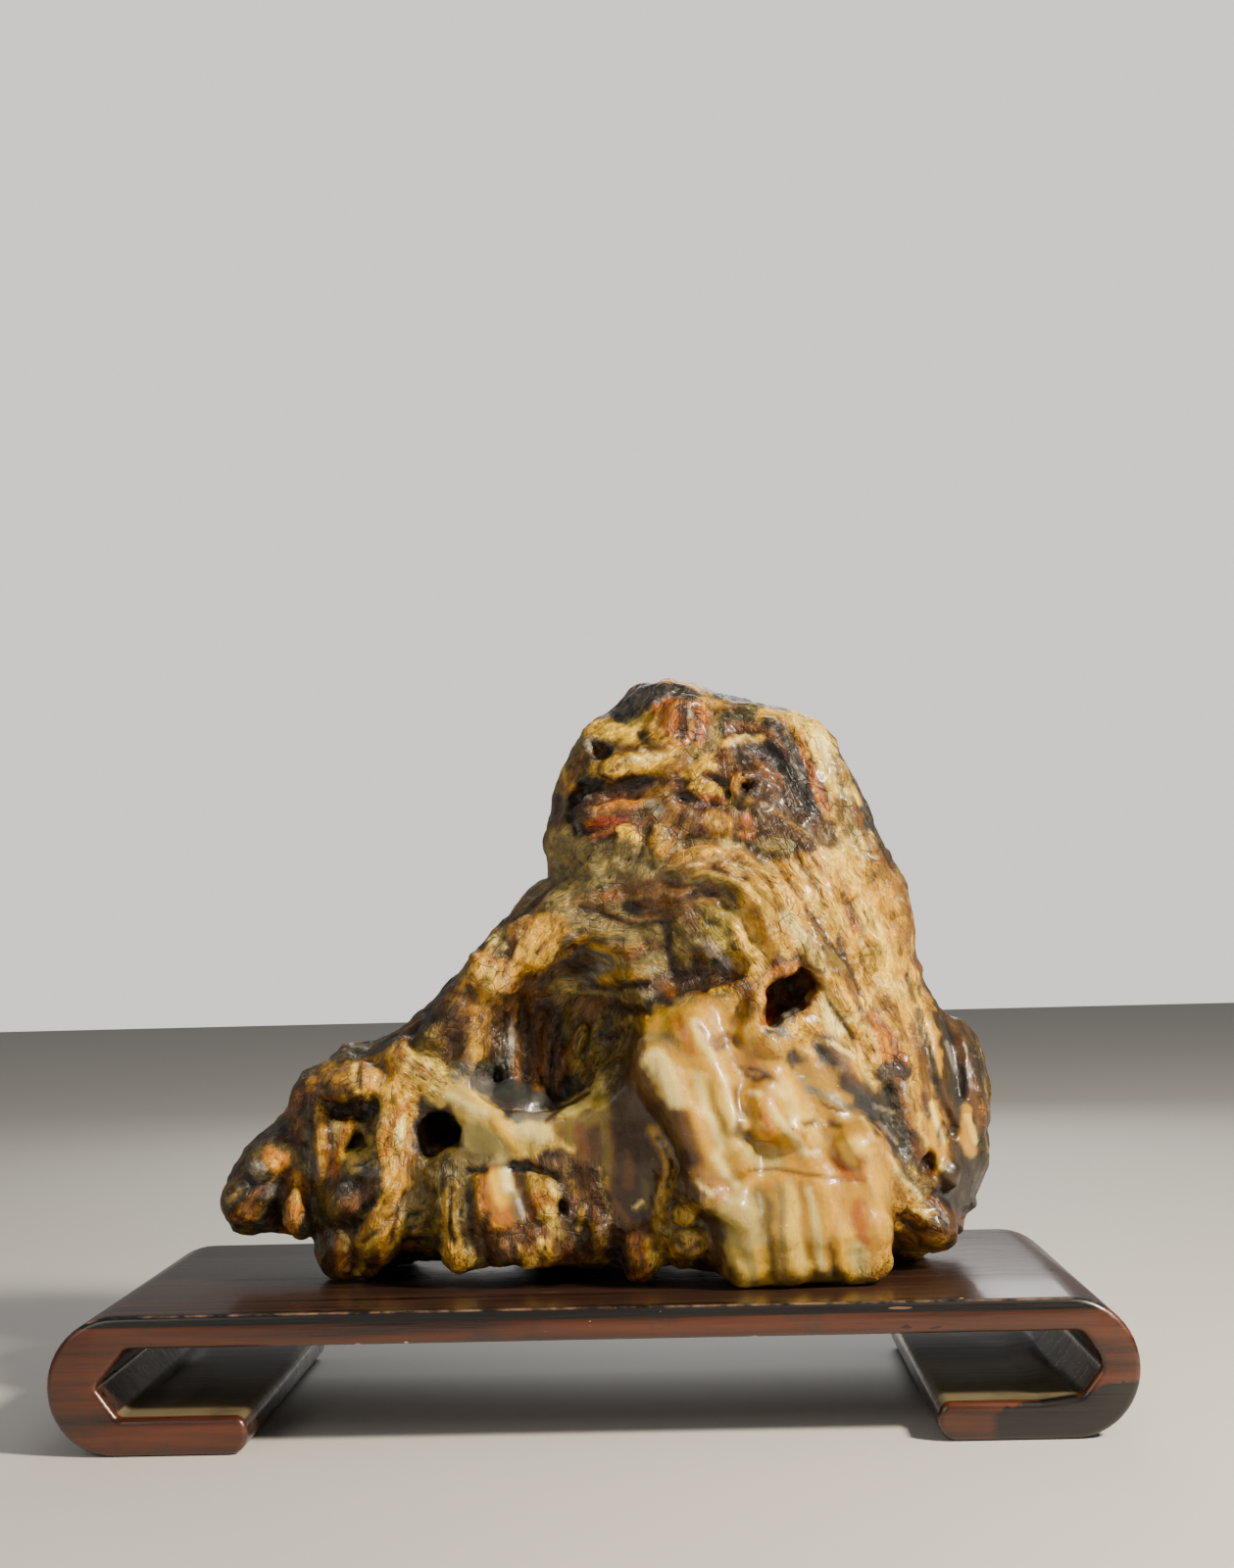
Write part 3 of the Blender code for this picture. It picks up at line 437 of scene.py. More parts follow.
# %% [markdown]
# The head is a knot of small blocks. Grooves between them catch the shadow,
# and a band curls from its top down the right side.
# %% Head
def shape_head(rock):
    """The top: a knob, a dark crevice, blocks and a curled band."""
    rock.lump(33, 224, (9, 4, 7), -1.5, 0, 4.0)
    rock.groove([(19, 220), (24, 228), (33, 232), (43, 228), (45, 218)], 1.5, 0.9, 2.0)
    rock.pit(6, 214, (4.5, 5, 3.2), 0.0, -40, 1.0)
    rock.lump(16, 208, (11, 4, 4.5), -1.6, 8, 2.0)
    rock.groove([(-4, 199), (3, 203), (9, 200), (15, 201), (25, 203)], 3.4, 0.8, 1.2)
    rock.groove([(-4, 200), (-5, 193), (-3, 187)], 1.6, 0.8, 1.0)
    rock.lump(10, 193, (12, 4, 3.0), -1.4, 5, 2.0)
    rock.lump(39, 205, (7, 4, 5), -1.4, 15, 2.0)
    rock.groove([(28, 198), (34, 196), (39, 196)], 1.8, 0.8, 1.0)
    rock.ball((54, skin(54, 199), 199), (4.6, 3, 5.5), -15, 2.0)
    rock.pit(54, 200, (2.2, 4, 3.0), 2.0, -15, 0.8)
    rock.pit(48.5, 198, (1.2, 4, 2.0), 1.5, 0, 0.8)
    rock.pit(54, 219, (9, 3, 3.0), 1.2, 5, 2.0)
    rock.groove([(58, 212), (64, 203), (70, 193)], 5.0, 3.8, 4.0)
    rock.ridge([(62, 220), (68, 210), (73, 199), (78, 190)], 2.6, -0.8, 3.0)
    rock.groove([(67, 222), (74, 207), (78, 195), (83, 181)], 1.4, 0.9, 2.0)
    rock.ridge([(76, 220), (82, 205), (87, 188), (93, 174), (102, 152)], 4.0, -2.2, 4.0)
    rock.lump(40, 187, (12, 4, 7), -2.2, 0, 3.0)
    rock.groove([(30, 194), (42, 195), (50, 194)], 1.2, 0.6, 1.0)
    rock.lump(15, 184, (5, 4, 5), -1.0, 0, 2.0)
    rock.lump(24, 182, (4, 4, 6), -1.2, 0, 2.0)
    rock.ridge([(31, 173), (40, 177), (52, 173), (61, 165), (63, 152)], 5.0, -2.0, 5.0)
    rock.groove([(28, 170), (36, 169), (46, 163), (53, 152)], 3.0, 0.8, 3.0)
    rock.groove([(34, 182), (46, 183), (60, 176), (68, 164), (71, 152)], 1.6, 1.0, 2.0)
    rock.ridge([(66, 160), (73, 146), (82, 130)], 4.0, -2.0, 3.0)


shape_head(rock_field)
print("with the head, the stone fills", stone_share(rock_field), "of the box")

# %% [markdown]
# The left lobe has a brow over an eye-like hollow, ribs that hang from it, and
# a thick foot. The lower wall under the bridge is one skirt with bumps,
# strands and small feet.
# %% Left lobe and lower wall
def shape_left(rock):
    """The left lobe: a brow over an eye-like pit, ribs, pillar and foot."""
    rock.lump(-75, 107, (15, 9, 6), 2.0, 6, 2.0)
    rock.lump(-61, 115, (8, 8, 7), 0.0, 30)
    rock.pit(-80, 97, (7, 4.5, 2.6), 0.0, -10)
    rock.groove([(-72, 95), (-66, 101), (-61, 108)], 2.2, 0.5)
    rock.pit(-77, 88, (3.4, 4, 4), 0.0)
    rock.ridge([(-90, 102), (-88, 90), (-87, 76)], 3.2, 0.0)
    rock.ridge([(-62, 102), (-65, 90), (-67, 76), (-68, 62)], 6.5, 1.0)
    rock.lump(-75, 81, (7, 6, 6), 0.5, 0, 2.0)
    rock.lump(-78, 70, (8, 7, 8), 0.5, 0, 2.0)
    rock.lump(-97, 66, (5, 6, 9), 0.0, 10, 2.0)
    rock.lump(-106, 80, (8, 7, 9), -1.0, -20)
    rock.lump(-115, 69, (8, 8, 8), -2.0)
    rock.groove([(-92, 92), (-94, 78), (-91, 64)], 3.0, 0.5)
    rock.groove([(-100, 76), (-105, 66), (-103, 56)], 3.0, 0.5)
    rock.lump(-71, 57, (9, 9, 9), 0.0)
    rock.ball((-84, -9, 52), (8, 12, 11), 10, 4.0)
    rock.ball((-76, -12, 50), (6, 8, 8), 0, 3.0)


def shape_lower_middle(rock):
    """The wall under the bridge: its skirt, bumps, strands and feet."""
    skirt = [(-41, -27, 62, 13), (-22, -28, 62, 14), (0, -28, 62, 14), (20, -29, 62, 14),
             (36, -33, 60, 13)]
    rock.rod(skirt, 8.0)
    rock.rod([(-47, -46, 91, 6), (-48, -30, 91, 7), (-46, -8, 92, 6)], 2.0, cut=True)
    rock.ball((-49, -38, 86), (7, 14, 5), 20, 2.0, cut=True)
    cleft = [(-54, -42, 80, 3), (-54, -38, 72, 4), (-56, -36, 62, 5), (-56, -32, 50, 6)]
    rock.rod(cleft, 3.0, cut=True)
    rock.rod([(-44, -33, 80, 6), (-44, -35, 66, 6.5), (-43, -34, 53, 7)], 5.0)
    rock.rod([(-40, -42.5, 81, 1), (-33, -43, 80.5, 1)], 1.0, cut=True)
    rock.rod([(-26, -43, 81, 1.2), (-19, -44, 81, 2.0), (-12, -43, 77.5, 1.5)], 1.2, cut=True)
    rock.ball((-31, -38, 70), (7, 7, 11), 5, 5.0)
    rock.ball((-15, -39, 71), (6, 6, 7), 0, 3.0)
    rock.ball((-9, -45, 68), (1.6, 5, 3), 0, 1.0, cut=True)
    rock.ball((-22, -38, 55), (10, 6, 6), 0, 4.0)
    rock.ball((3, -42, 60), (3.2, 3.5, 7), -22, 1.5)
    rock.ball((15, -36, 51), (6.5, 9, 9), 0, 3.0)
    strand = [(21, -44, 93, 1.8), (25, -46, 86, 2.2), (25, -46, 79, 2.2), (22, -44, 72, 2),
              (22, -44, 62, 2.2), (31, -46, 61, 2)]
    rock.rod(strand, 1.5)
    rock.ball((31, -46, 56.5), (6, 6, 5.5), 0, 1.5)
    rock.ball((30, -45, 65), (5, 5, 3.5), 0, 1.5)
    rock.rod([(26, -54, 70, 3), (34, -56, 65, 3), (42, -56, 61, 3)], 3.0, cut=True)


def shape_underside(rock):
    """Shallow arches that lift the bottom edge off the stand."""
    for x, width in [(-24, 17), (1, 8), (30, 9), (-104, 16)]:
        rock.ball((x, -38, 41), (width, 26, 5.5), 0, 2.0, cut=True)


for shape in (shape_left, shape_lower_middle, shape_underside):
    shape(rock_field)
rock_field.distance = np.maximum(rock_field.distance, ROCK_BOTTOM - rock_field.axes[2])
print("with its lower parts, the stone fills", stone_share(rock_field), "of the box")

# %% [markdown]
# A net laid over the field turns it into faces. Each grid cell that the
# surface crosses gets one corner, at the mean of its crossings, and each grid
# edge that it crosses gets one quad between the four cells around it.
# %% Lay a net over the field
def net(field):
    """Corners and quads of the surface where the field is zero."""
    inside = field.distance < 0.0
    count = field.count - 1
    total = np.zeros(count)
    place = np.zeros((3,) + tuple(count))

    def shifted(array, corner):
        i, j, k = corner
        return array[i:i + count[0], j:j + count[1], k:k + count[2]]

    for start in itertools.product((0, 1), repeat=3):
        for axis in range(3):
            if start[axis]:
                continue
            end = list(start)
            end[axis] = 1
            a = shifted(field.distance, start)
            b = shifted(field.distance, end)
            crossing = shifted(inside, start) != shifted(inside, end)
            share = np.where(crossing, a / np.where(crossing, a - b, 1.0), 0.0)
            total += crossing
            for i in range(3):
                place[i] += np.where(crossing, start[i] + (share if i == axis else 0.0), 0.0)
    used = total > 0
    number = np.full(tuple(count), -1)
    number[used] = np.arange(used.sum())
    spots = np.stack([place[i][used] / total[used] for i in range(3)], axis=1)
    points = field.low + field.step * (np.argwhere(used) + spots)
    quads = []
    for axis in range(3):
        one = (axis + 1) % 3
        two = (axis + 2) % 3
        lower = [slice(1, None)] * 3
        upper = [slice(1, None)] * 3
        lower[axis] = slice(0, -1)
        first = inside[tuple(lower)]
        second = inside[tuple(upper)]
        for outward in (True, False):
            base = np.argwhere((first == outward) & (second != outward)) + 1
            base[:, axis] -= 1
            ring = []
            for step_one, step_two in [(1, 1), (0, 1), (0, 0), (1, 0)]:
                spot = base.copy()
                spot[:, one] -= step_one
                spot[:, two] -= step_two
                ring.append(number[spot[:, 0], spot[:, 1], spot[:, 2]])
            ring = np.stack(ring, axis=1)
            quads.append(ring if outward else ring[:, ::-1])
    return points, np.concatenate(quads)


def largest_body(points, quads):
    """Keep the corners and quads of the body that has the most corners."""
    label = np.arange(len(points))
    while True:
        lowest = label[quads].min(axis=1)
        new = label.copy()
        for side in range(4):
            np.minimum.at(new, quads[:, side], lowest)
        new = new[new]
        if np.array_equal(new, label):
            break
        label = new
    names, sizes = np.unique(label, return_counts=True)
    keep = label == names[sizes.argmax()]
    number = np.cumsum(keep) - 1
    return points[keep], number[quads[keep[quads[:, 0]]]]


points, quads = largest_body(*net(rock_field))
print("corners:", len(points), "quads:", len(quads))

# %% [markdown]
# Broken and water-worn stone has no even surface. Three kinds of noise give
# the relief its character: soft lumps, tilted facets like those of a chipped
# block, and grain. This stone was once wood, so its grain runs in streams that
# bend round the lumps. To draw such streams, a short walk goes along the
# local direction from each point, and the noise met on the way is averaged.
# %% Noise, facets and streams
def noise(points, size, seed):
    """Smooth noise from -1 to 1, with lumps of about the given size."""
    count = 32
    table = np.random.default_rng(seed).uniform(-1.0, 1.0, (count, count, count))
    place = points / size
    cell = np.floor(place).astype(int)
    part = place - cell
    part = part * part * (3.0 - 2.0 * part)
    total = np.zeros(len(points))
    for corner in itertools.product((0, 1), repeat=3):
        weight = np.prod(np.where(corner, part, 1.0 - part), axis=1)
        index = (cell + corner) % count
        total += weight * table[index[:, 0], index[:, 1], index[:, 2]]
    return total


def facets(points, size, seed, crispness=9.0):
    """Tilted planes like those of broken stone, from about -1 to 1."""
    count = 24
    chance = np.random.default_rng(seed)
    jitter = chance.uniform(0.1, 0.9, (count, count, count, 3))
    tilt = chance.uniform(-1.0, 1.0, (count, count, count, 3))
    place = points / size
    cell = np.floor(place).astype(int)
    total = np.zeros(len(points))
    weights = np.zeros(len(points))
    for offset in itertools.product((-1, 0, 1), repeat=3):
        near = cell + offset
        index = tuple((near % count).T)
        away = place - near - jitter[index]
        weight = np.exp(-crispness * np.sqrt((away ** 2).sum(axis=1)))
        total += weight * (away * tilt[index]).sum(axis=1) * 1.6
        weights += weight
    return total / weights


# Directions of the grain, seen from the front: x, z and the angle from +X
FLOW = [
    (10, 225, 20), (35, 225, 80), (60, 228, -20), (5, 208, 30), (25, 208, 20), (75, 215, -65),
    (84, 198, -75), (65, 198, -50), (45, 190, 80), (10, 192, 5), (18, 182, 70), (0, 176, 20),
    (38, 175, 20), (55, 170, -40), (63, 155, -75), (75, 165, -60), (92, 165, -65), (104, 150, -78),
    (40, 150, -60), (10, 160, 10), (5, 145, -15), (-20, 152, -120), (-35, 140, -110),
    (-45, 126, -120), (-20, 118, 85), (0, 120, 60), (70, 150, -60), (85, 130, -60), (97, 120, -62),
    (70, 110, -40), (85, 98, -50), (100, 95, -75), (108, 115, -85), (122, 100, -85), (95, 65, -55),
    (108, 58, -30), (-10, 95, 80), (-35, 100, -40), (-50, 108, -30), (30, 110, -75), (25, 90, -75),
    (45, 100, -80), (60, 100, -65), (50, 60, -88), (65, 60, -88), (82, 60, -88), (10, 80, -88),
    (-10, 65, -80), (-28, 70, -75), (-43, 62, -80), (-55, 60, 40), (-64, 85, -85), (-68, 60, -110),
    (-75, 108, 70), (-85, 88, -88), (-76, 80, 40), (-78, 70, 60), (-98, 68, -88), (-108, 78, 40),
]


def flow_directions(seen):
    """The grain's direction at each point, mixed from the arrows near it."""
    total = np.zeros((len(seen), 2))
    for x, z, angle in FLOW:
        near = 1.0 / ((seen[:, 0] - x) ** 2 + (seen[:, 1] - z) ** 2 + 9.0) ** 2
        turn = math.radians(2 * angle)
        total += near[:, None] * (math.cos(turn), math.sin(turn))
    turn = 0.5 * np.arctan2(total[:, 1], total[:, 0])
    return np.stack([np.cos(turn), np.sin(turn)], axis=1)


def streams(seen, depth, width, length, seed, steps=5):
    """Noise drawn out along the grain, from about -1 to 1."""
    stride = length / (2 * steps)
    total = np.zeros(len(seen))
    for way in (-1.0, 1.0):
        walker = seen.copy()
        heading = way * flow_directions(walker)
        for _ in range(steps):
            place = np.column_stack([walker[:, 0], 0.6 * depth, walker[:, 1]])
            total += noise(place, width, seed)
            turned = flow_directions(walker)
            same = np.sign((turned * heading).sum(axis=1))
            heading = turned * np.where(same == 0, 1.0, same)[:, None]
            walker = walker + stride * heading
    total /= 2 * steps
    return np.clip(total / (2.2 * total.std()), -1.2, 1.2)


def seen_from_front(points, plane):
    """Where each point shows on an upright plane at y, seen from the eye."""
    share = (plane - EYE_MM[1]) / (points[:, 1] - EYE_MM[1])
    across = EYE_MM[0] + (points[:, 0] - EYE_MM[0]) * share
    high = EYE_MM[2] + (points[:, 2] - EYE_MM[2]) * share
    return np.column_stack([across, high])


print("arrows for the grain:", len(FLOW))

# %% [markdown]
# Colours have plain names, given as they look on a screen. The marks are the
# heart of the stone: each mark is a path over the front with a colour, half a
# width, and a height. A dark crack is also a groove, and a pale streak stands
# a little proud, so relief and colour always agree. The places were read from
# the front with a ruler, region by region, each on its own upright plane.
# A table keeps one mark on a line: colour, half width, height, and x,z places.
# %% Colours
COLOURS = {
    "cream": (230, 200, 145), "pale": (242, 222, 176), "tan": (196, 150, 92),
    "sand": (178, 138, 84), "honey": (208, 162, 84), "amber": (190, 126, 44),
    "orange": (174, 104, 32), "rust": (94, 50, 18), "flame": (176, 86, 24),
    "brown": (122, 80, 42), "umber": (84, 54, 26), "dark": (48, 30, 15),
    "black": (24, 19, 15), "charcoal": (50, 47, 44), "grey": (126, 118, 106),
    "slate": (64, 68, 62), "silver": (196, 188, 176), "olive": (120, 98, 48),
    "deep_olive": (66, 60, 36), "moss": (150, 128, 66), "khaki": (150, 130, 86),
    "green_cream": (198, 178, 128), "pink": (182, 136, 92), "gold": (188, 148, 62),
    "yellow": (228, 186, 96), "glass_brown": (68, 40, 14),
}


def read_marks(table):
    """The marks of a table: colour, half width, height and path of each."""
    marks = []
    for line in table.strip().splitlines():
        name, width, height, *spots = line.split()
        path = [tuple(float(value) for value in spot.split(",")) for spot in spots]
        marks.append((name, float(width), float(height), path))
    return marks


print("colours:", len(COLOURS))

# %% [markdown]
# The head carries the strongest colours: a black crevice, rust and orange blocks under it, and a cream
# band that curls down its right side. The crevice's black, near x -2 to 22 and z 197 to 203, is painted
# shade. Thin pale marks are painted highlights: silver on the knob near 36,224, grey near -2,188 and
# along the black band from 62,218 to 74,196, and tan near 45,188.
# %% Marks of the head
HEAD_MARKS = read_marks("""
moss 16 0  0,210 14,216 24,212
olive 13 0  -6,205 -8,192 -6,180
gold 8 0  12,206 28,207
charcoal 5.5 0  8,226 18,230 28,235 38,234 44,230
tan 1.2 0.2  24,236 32,236 39,233
sand 5 0  44,228 58,227 70,224
charcoal 1.2 -0.2  44,230 52,229 60,227 68,226
brown 0.8 -0.2  46,226 56,225 66,223
orange 7 0  29,222 37,221
tan 2.5 0  23,222 25,217 30,215
rust 1 -0.4  32,227 33,222 32,217
dark 0.9 -0.5  34,227 35,222 34,217
rust 1 -0.4  37,226 38,221 37,216
silver 0.6 0.2  35.5,226 36,223
brown 4 0  43,218 46,212 44,207
khaki 2.5 0.3  44,221 45,214 46,208
silver 1 0.4  2,219 10,213.5 5,210.5 2,216
black 2.4 -1  5,215 8,213 5.5,212
yellow 3 0.3  2,221 10,221 16,218
umber 1.6 -0.6  19,218 21,216
brown 1 -0.4  11,214 20,213 27,214
yellow 2.2 0.5  12,207 16,209 20,207
pale 0.8 0.4  13,209 17,210.5 20,209
pale 0.7 0.4  20,213 23,210 27,211
yellow 2 0.4  24,207 28,209 31,207
moss 4 0  -6,206 -4,201
yellow 1.8 0.3  -5,206 -4,202
umber 2 -0.3  -8,198 -8,190 -8,182
brown 2.5 0.3  -7,189 -5,186
black 3.4 -0.8  0,203 5,202 9,200 14,201 22,202
black 2.4 -0.8  -2,198 4,197 11,198 17,199
black 2.2 -0.8  -1,198 -3,192 -3,187 3,188
silver 0.6 0.3  1,198 4,197 6,196
grey 0.8 0.3  -2,190 -1,187
rust 3.4 0.4  1,194 9,196 21,197
orange 1.2 0.4  5,194 12,196 20,196
flame 1.8 0.4  3,189 8,190 13,191
rust 2.4 0.2  -4,182 4,184 12,188 22,190
orange 1 0.3  -2,183 6,186 12,189
brown 4.5 0  27,200 30,196
grey 2 0  22,195 26,192
rust 3.2 -0.3  33,203 34,200
yellow 2.8 0.8  36,206 41,208
yellow 2.4 0.8  37,200 43,200 46,197
orange 1.4 0.5  38,197 46,196
dark 1.4 -1  40,204.5 44,203 46,201
dark 2 -1  32,197 37,195
rust 1.8 0.3  28,192 35,194 43,193.5
deep_olive 5.5 0  48,221 60,221
umber 2.5 -0.5  50,219 56,218
yellow 1.3 0.5  46,214 50,216 55,214 58,216
pale 0.7 0.4  50,215 53,217 57,214
rust 4.2 0.2  47,210 49,206
dark 4.6 -0.5  54,210 60,206
rust 3.4 0.2  50,203 56,203
orange 1.5 1  49,199 50,203 54,203 55.5,199 54,196
dark 1.5 -1.2  52.5,200 52.5,197.5
dark 1.3 -1  47,198.5 47,196.5
tan 3 0.3  60,222 66,221
glass_brown 8 0  60,198 70,190 75,184
umber 6 0  62,188 72,182
rust 2.4 0  60,203 66,196
sand 0.4 0  58,195 66,189 73,184
charcoal 5 -0.3  62,218 66,211 70,203 75,194
black 1.5 -0.3  60,212 66,204 72,196
grey 0.8 0.1  65,214 68,208 71,202 74,196
grey 0.8 0.2  62,218 64,214
orange 1.4 0.5  68,222 72,213 75,203 77,195 80,190
cream 4.4 0.3  72,223 78,213 82,202 86,192 89,178
pale 1.6 0.3  77,216 82,205 86,194 88,184
rust 0.7 -0.2  73,214 76,205 78,198
charcoal 4.2 0  86,212 92,202 99,190 105,178
charcoal 2.2 -0.5  89,191 91,186
charcoal 1.8 -0.5  91,170 91,166
umber 2 -0.4  97,179 98,174
brown 2.2 -0.2  21,192 22,186 21,178
yellow 2.6 0.6  14,187 17,183 17,180
honey 1.8 0.6  23,184 25,180 24,176
brown 5 0  31,190 34,184
rust 5.5 0  42,190 46,186
pink 3.2 0.3  43,190 45,185
tan 0.9 0.3  43,191 45,186
tan 0.7 0.3  47,190 48,186
orange 2.6 0.3  52,189 54,185
olive 5 0  62,180 70,174
umber 1.5 -0.6  60,178 68,176 74,170
green_cream 2.2 0.3  32,180 40,181 50,180
pale 0.6 0.3  36,182 42,180 50,181
pink 5.6 0.5  31,174 40,177 50,174 58,169 62,160 64,152
tan 1.1 0.5  30,177 40,180 52,177 60,171 65,162 68,152
cream 0.7 0.4  30,171 38,173 48,170 55,165
rust 1 -0.3  42,174 52,170 58,164
pale 0.5 0.3  34,175 44,177 54,173
cream 3 0.6  60,173 66,165 70,155 77,145
olive 5 0  72,171 78,163
dark 1.8 -0.6  74,164 76,162
grey 2.8 0  80,174 83,166
khaki 9 0  -6,178 4,176 14,175
green_cream 3.5 0.2  0,178 8,178 14,176
deep_olive 2.2 -0.6  -5,176 -3,173
dark 0.6 -0.4  -7,178 -3,179 0,175 -3,171 -7,173
umber 2 -0.7  29,171 34,165 40,158 46,150
olive 4 0  40,163 46,156
tan 5 0  50,164 55,154 58,146
silver 1 0.3  56,162 59,155 60,149
umber 0.7 -0.4  44,168 50,160 54,150
""")
print("marks of the head:", len(HEAD_MARKS))


# %% [markdown]
# The cave has a flaky khaki roof, dark strands at the back, a slate floor and a smooth cream bridge in
# front. The umber band inside the roof's upper left, from -30,124 to 0,145, and the umber and dark lines
# just above the hump's crest, from 20,132 to 47,138, are painted shade. The umber mark from 36,147 to
# 37,138 is partly painted shade.
# %% Marks of the cave
BOWL_MARKS = read_marks("""
khaki 24 0  -4,160 14,156 30,150
brown 8 0  26,164 38,160
black 2 -1.2  14,162 17,161
brown 3 0  2,165 12,167 22,168
umber 1 -0.6  -4,164 6,160 18,156 28,158
umber 0.8 -0.5  -10,158 0,154 12,152
tan 1 0.5  0,154 4,155 8,153
khaki 12 0  2,146 14,144
grey 5 0  -2,148 4,143
sand 2 0.6  6,139 14,141 22,137
sand 1.4 0.6  2,150 10,148 18,149
umber 0.9 -0.7  2,137 10,136 18,138
black 1.6 -1  16,137.5 19,137
moss 7 0  -2,126 2,118
khaki 2.2 0.5  0,130 8,126 14,120
dark 1.8 -1  8,131 14,130 21,128 26,131
dark 1 -0.6  4,122 8,121
olive 4 0  28,152 30,140
dark 1.4 -0.8  26,156 27,148 29,138
umber 2.6 -0.5  36,147 37,138
brown 2 -0.4  32,138 40,133
silver 2.2 0.8  41,149 45,144 49,138
slate 1.3 0.3  42,144 46,139
moss 5 0  42,157 48,150
deep_olive 6 0  -58,127 -46,139 -34,152 -20,165
khaki 4 0.3  -22,164 -10,168 0,168
tan 8 0  -14,154 -24,148 -32,139
honey 3 0.3  -14,158 -14,150 -16,144
pale 2.8 0.3  -30,154 -27,150
umber 1 -0.6  -26,153 -24,150 -27,148
cream 2.4 0.4  -31,144 -32,138
brown 1.4 -0.5  -22,158 -24,148 -26,140
umber 1.2 -0.6  -38,138 -34,130 -36,124
brown 7 0  -42,130 -40,120
umber 3 -0.3  -46,128 -42,122
honey 2.2 0.4  -34,129 -35,123 -36,117
tan 2.4 0.3  -30,136 -36,130
tan 1.3 0.5  0,153 -10,145 -19,137 -27,130
umber 1.6 -0.8  -27,134 -24,133
umber 3 0  -30,124 -22,135 -10,142 0,145
brown 14 0  -22,125 -14,110
dark 4 0  -28,120 -30,108
dark 3 -0.5  -10,121 -5,120 -12,130
grey 1.4 0.6  -25,126 -24,118 -26,110
silver 0.7 0.4  -25,124 -24,118
brown 1.6 0.5  -15,122 -13,114 -16,106
grey 0.9 0.5  -8,114 -10,106
black 1.6 -0.8  -18,128 -19,114 -20,104
black 1.2 -0.8  -11,117 -12,104
moss 2.4 0.4  -5,122 -4,112 -3,107
dark 1.8 -0.8  -7,106 -2,104 -9,103
slate 6.5 0  -36,108 -26,101 -14,99 -6,102
grey 3.8 0  -40,110 -34,104
slate 3 0  -27,113 -26,104
charcoal 3.2 0  -24,100 -16,98
cream 6 0  -56,112 -46,105 -38,98 -28,91 -16,90 -6,92
pale 1.6 0.5  -50,105 -42,101 -34,97
green_cream 5 0  -36,90 -30,86
yellow 1.4 0.5  -30,95 -27,90 -24,86
pale 3.2 0.3  -22,92 -16,90
grey 2 0  -22,96 -12,95
green_cream 3.2 0.3  -6,99 2,103 8,111 13,118
umber 3.6 0  23,137 34,139 47,138
dark 1.8 -0.6  20,132 30,135 38,136.5
gold 0.8 0.3  40,134.5 45,135.5 49,134
umber 0.7 -0.4  -14,94 -8,99 0,103
olive 5 0  -6,92 2,92
moss 3 0  3,100 8,106
""")
print("marks of the cave:", len(BOWL_MARKS))


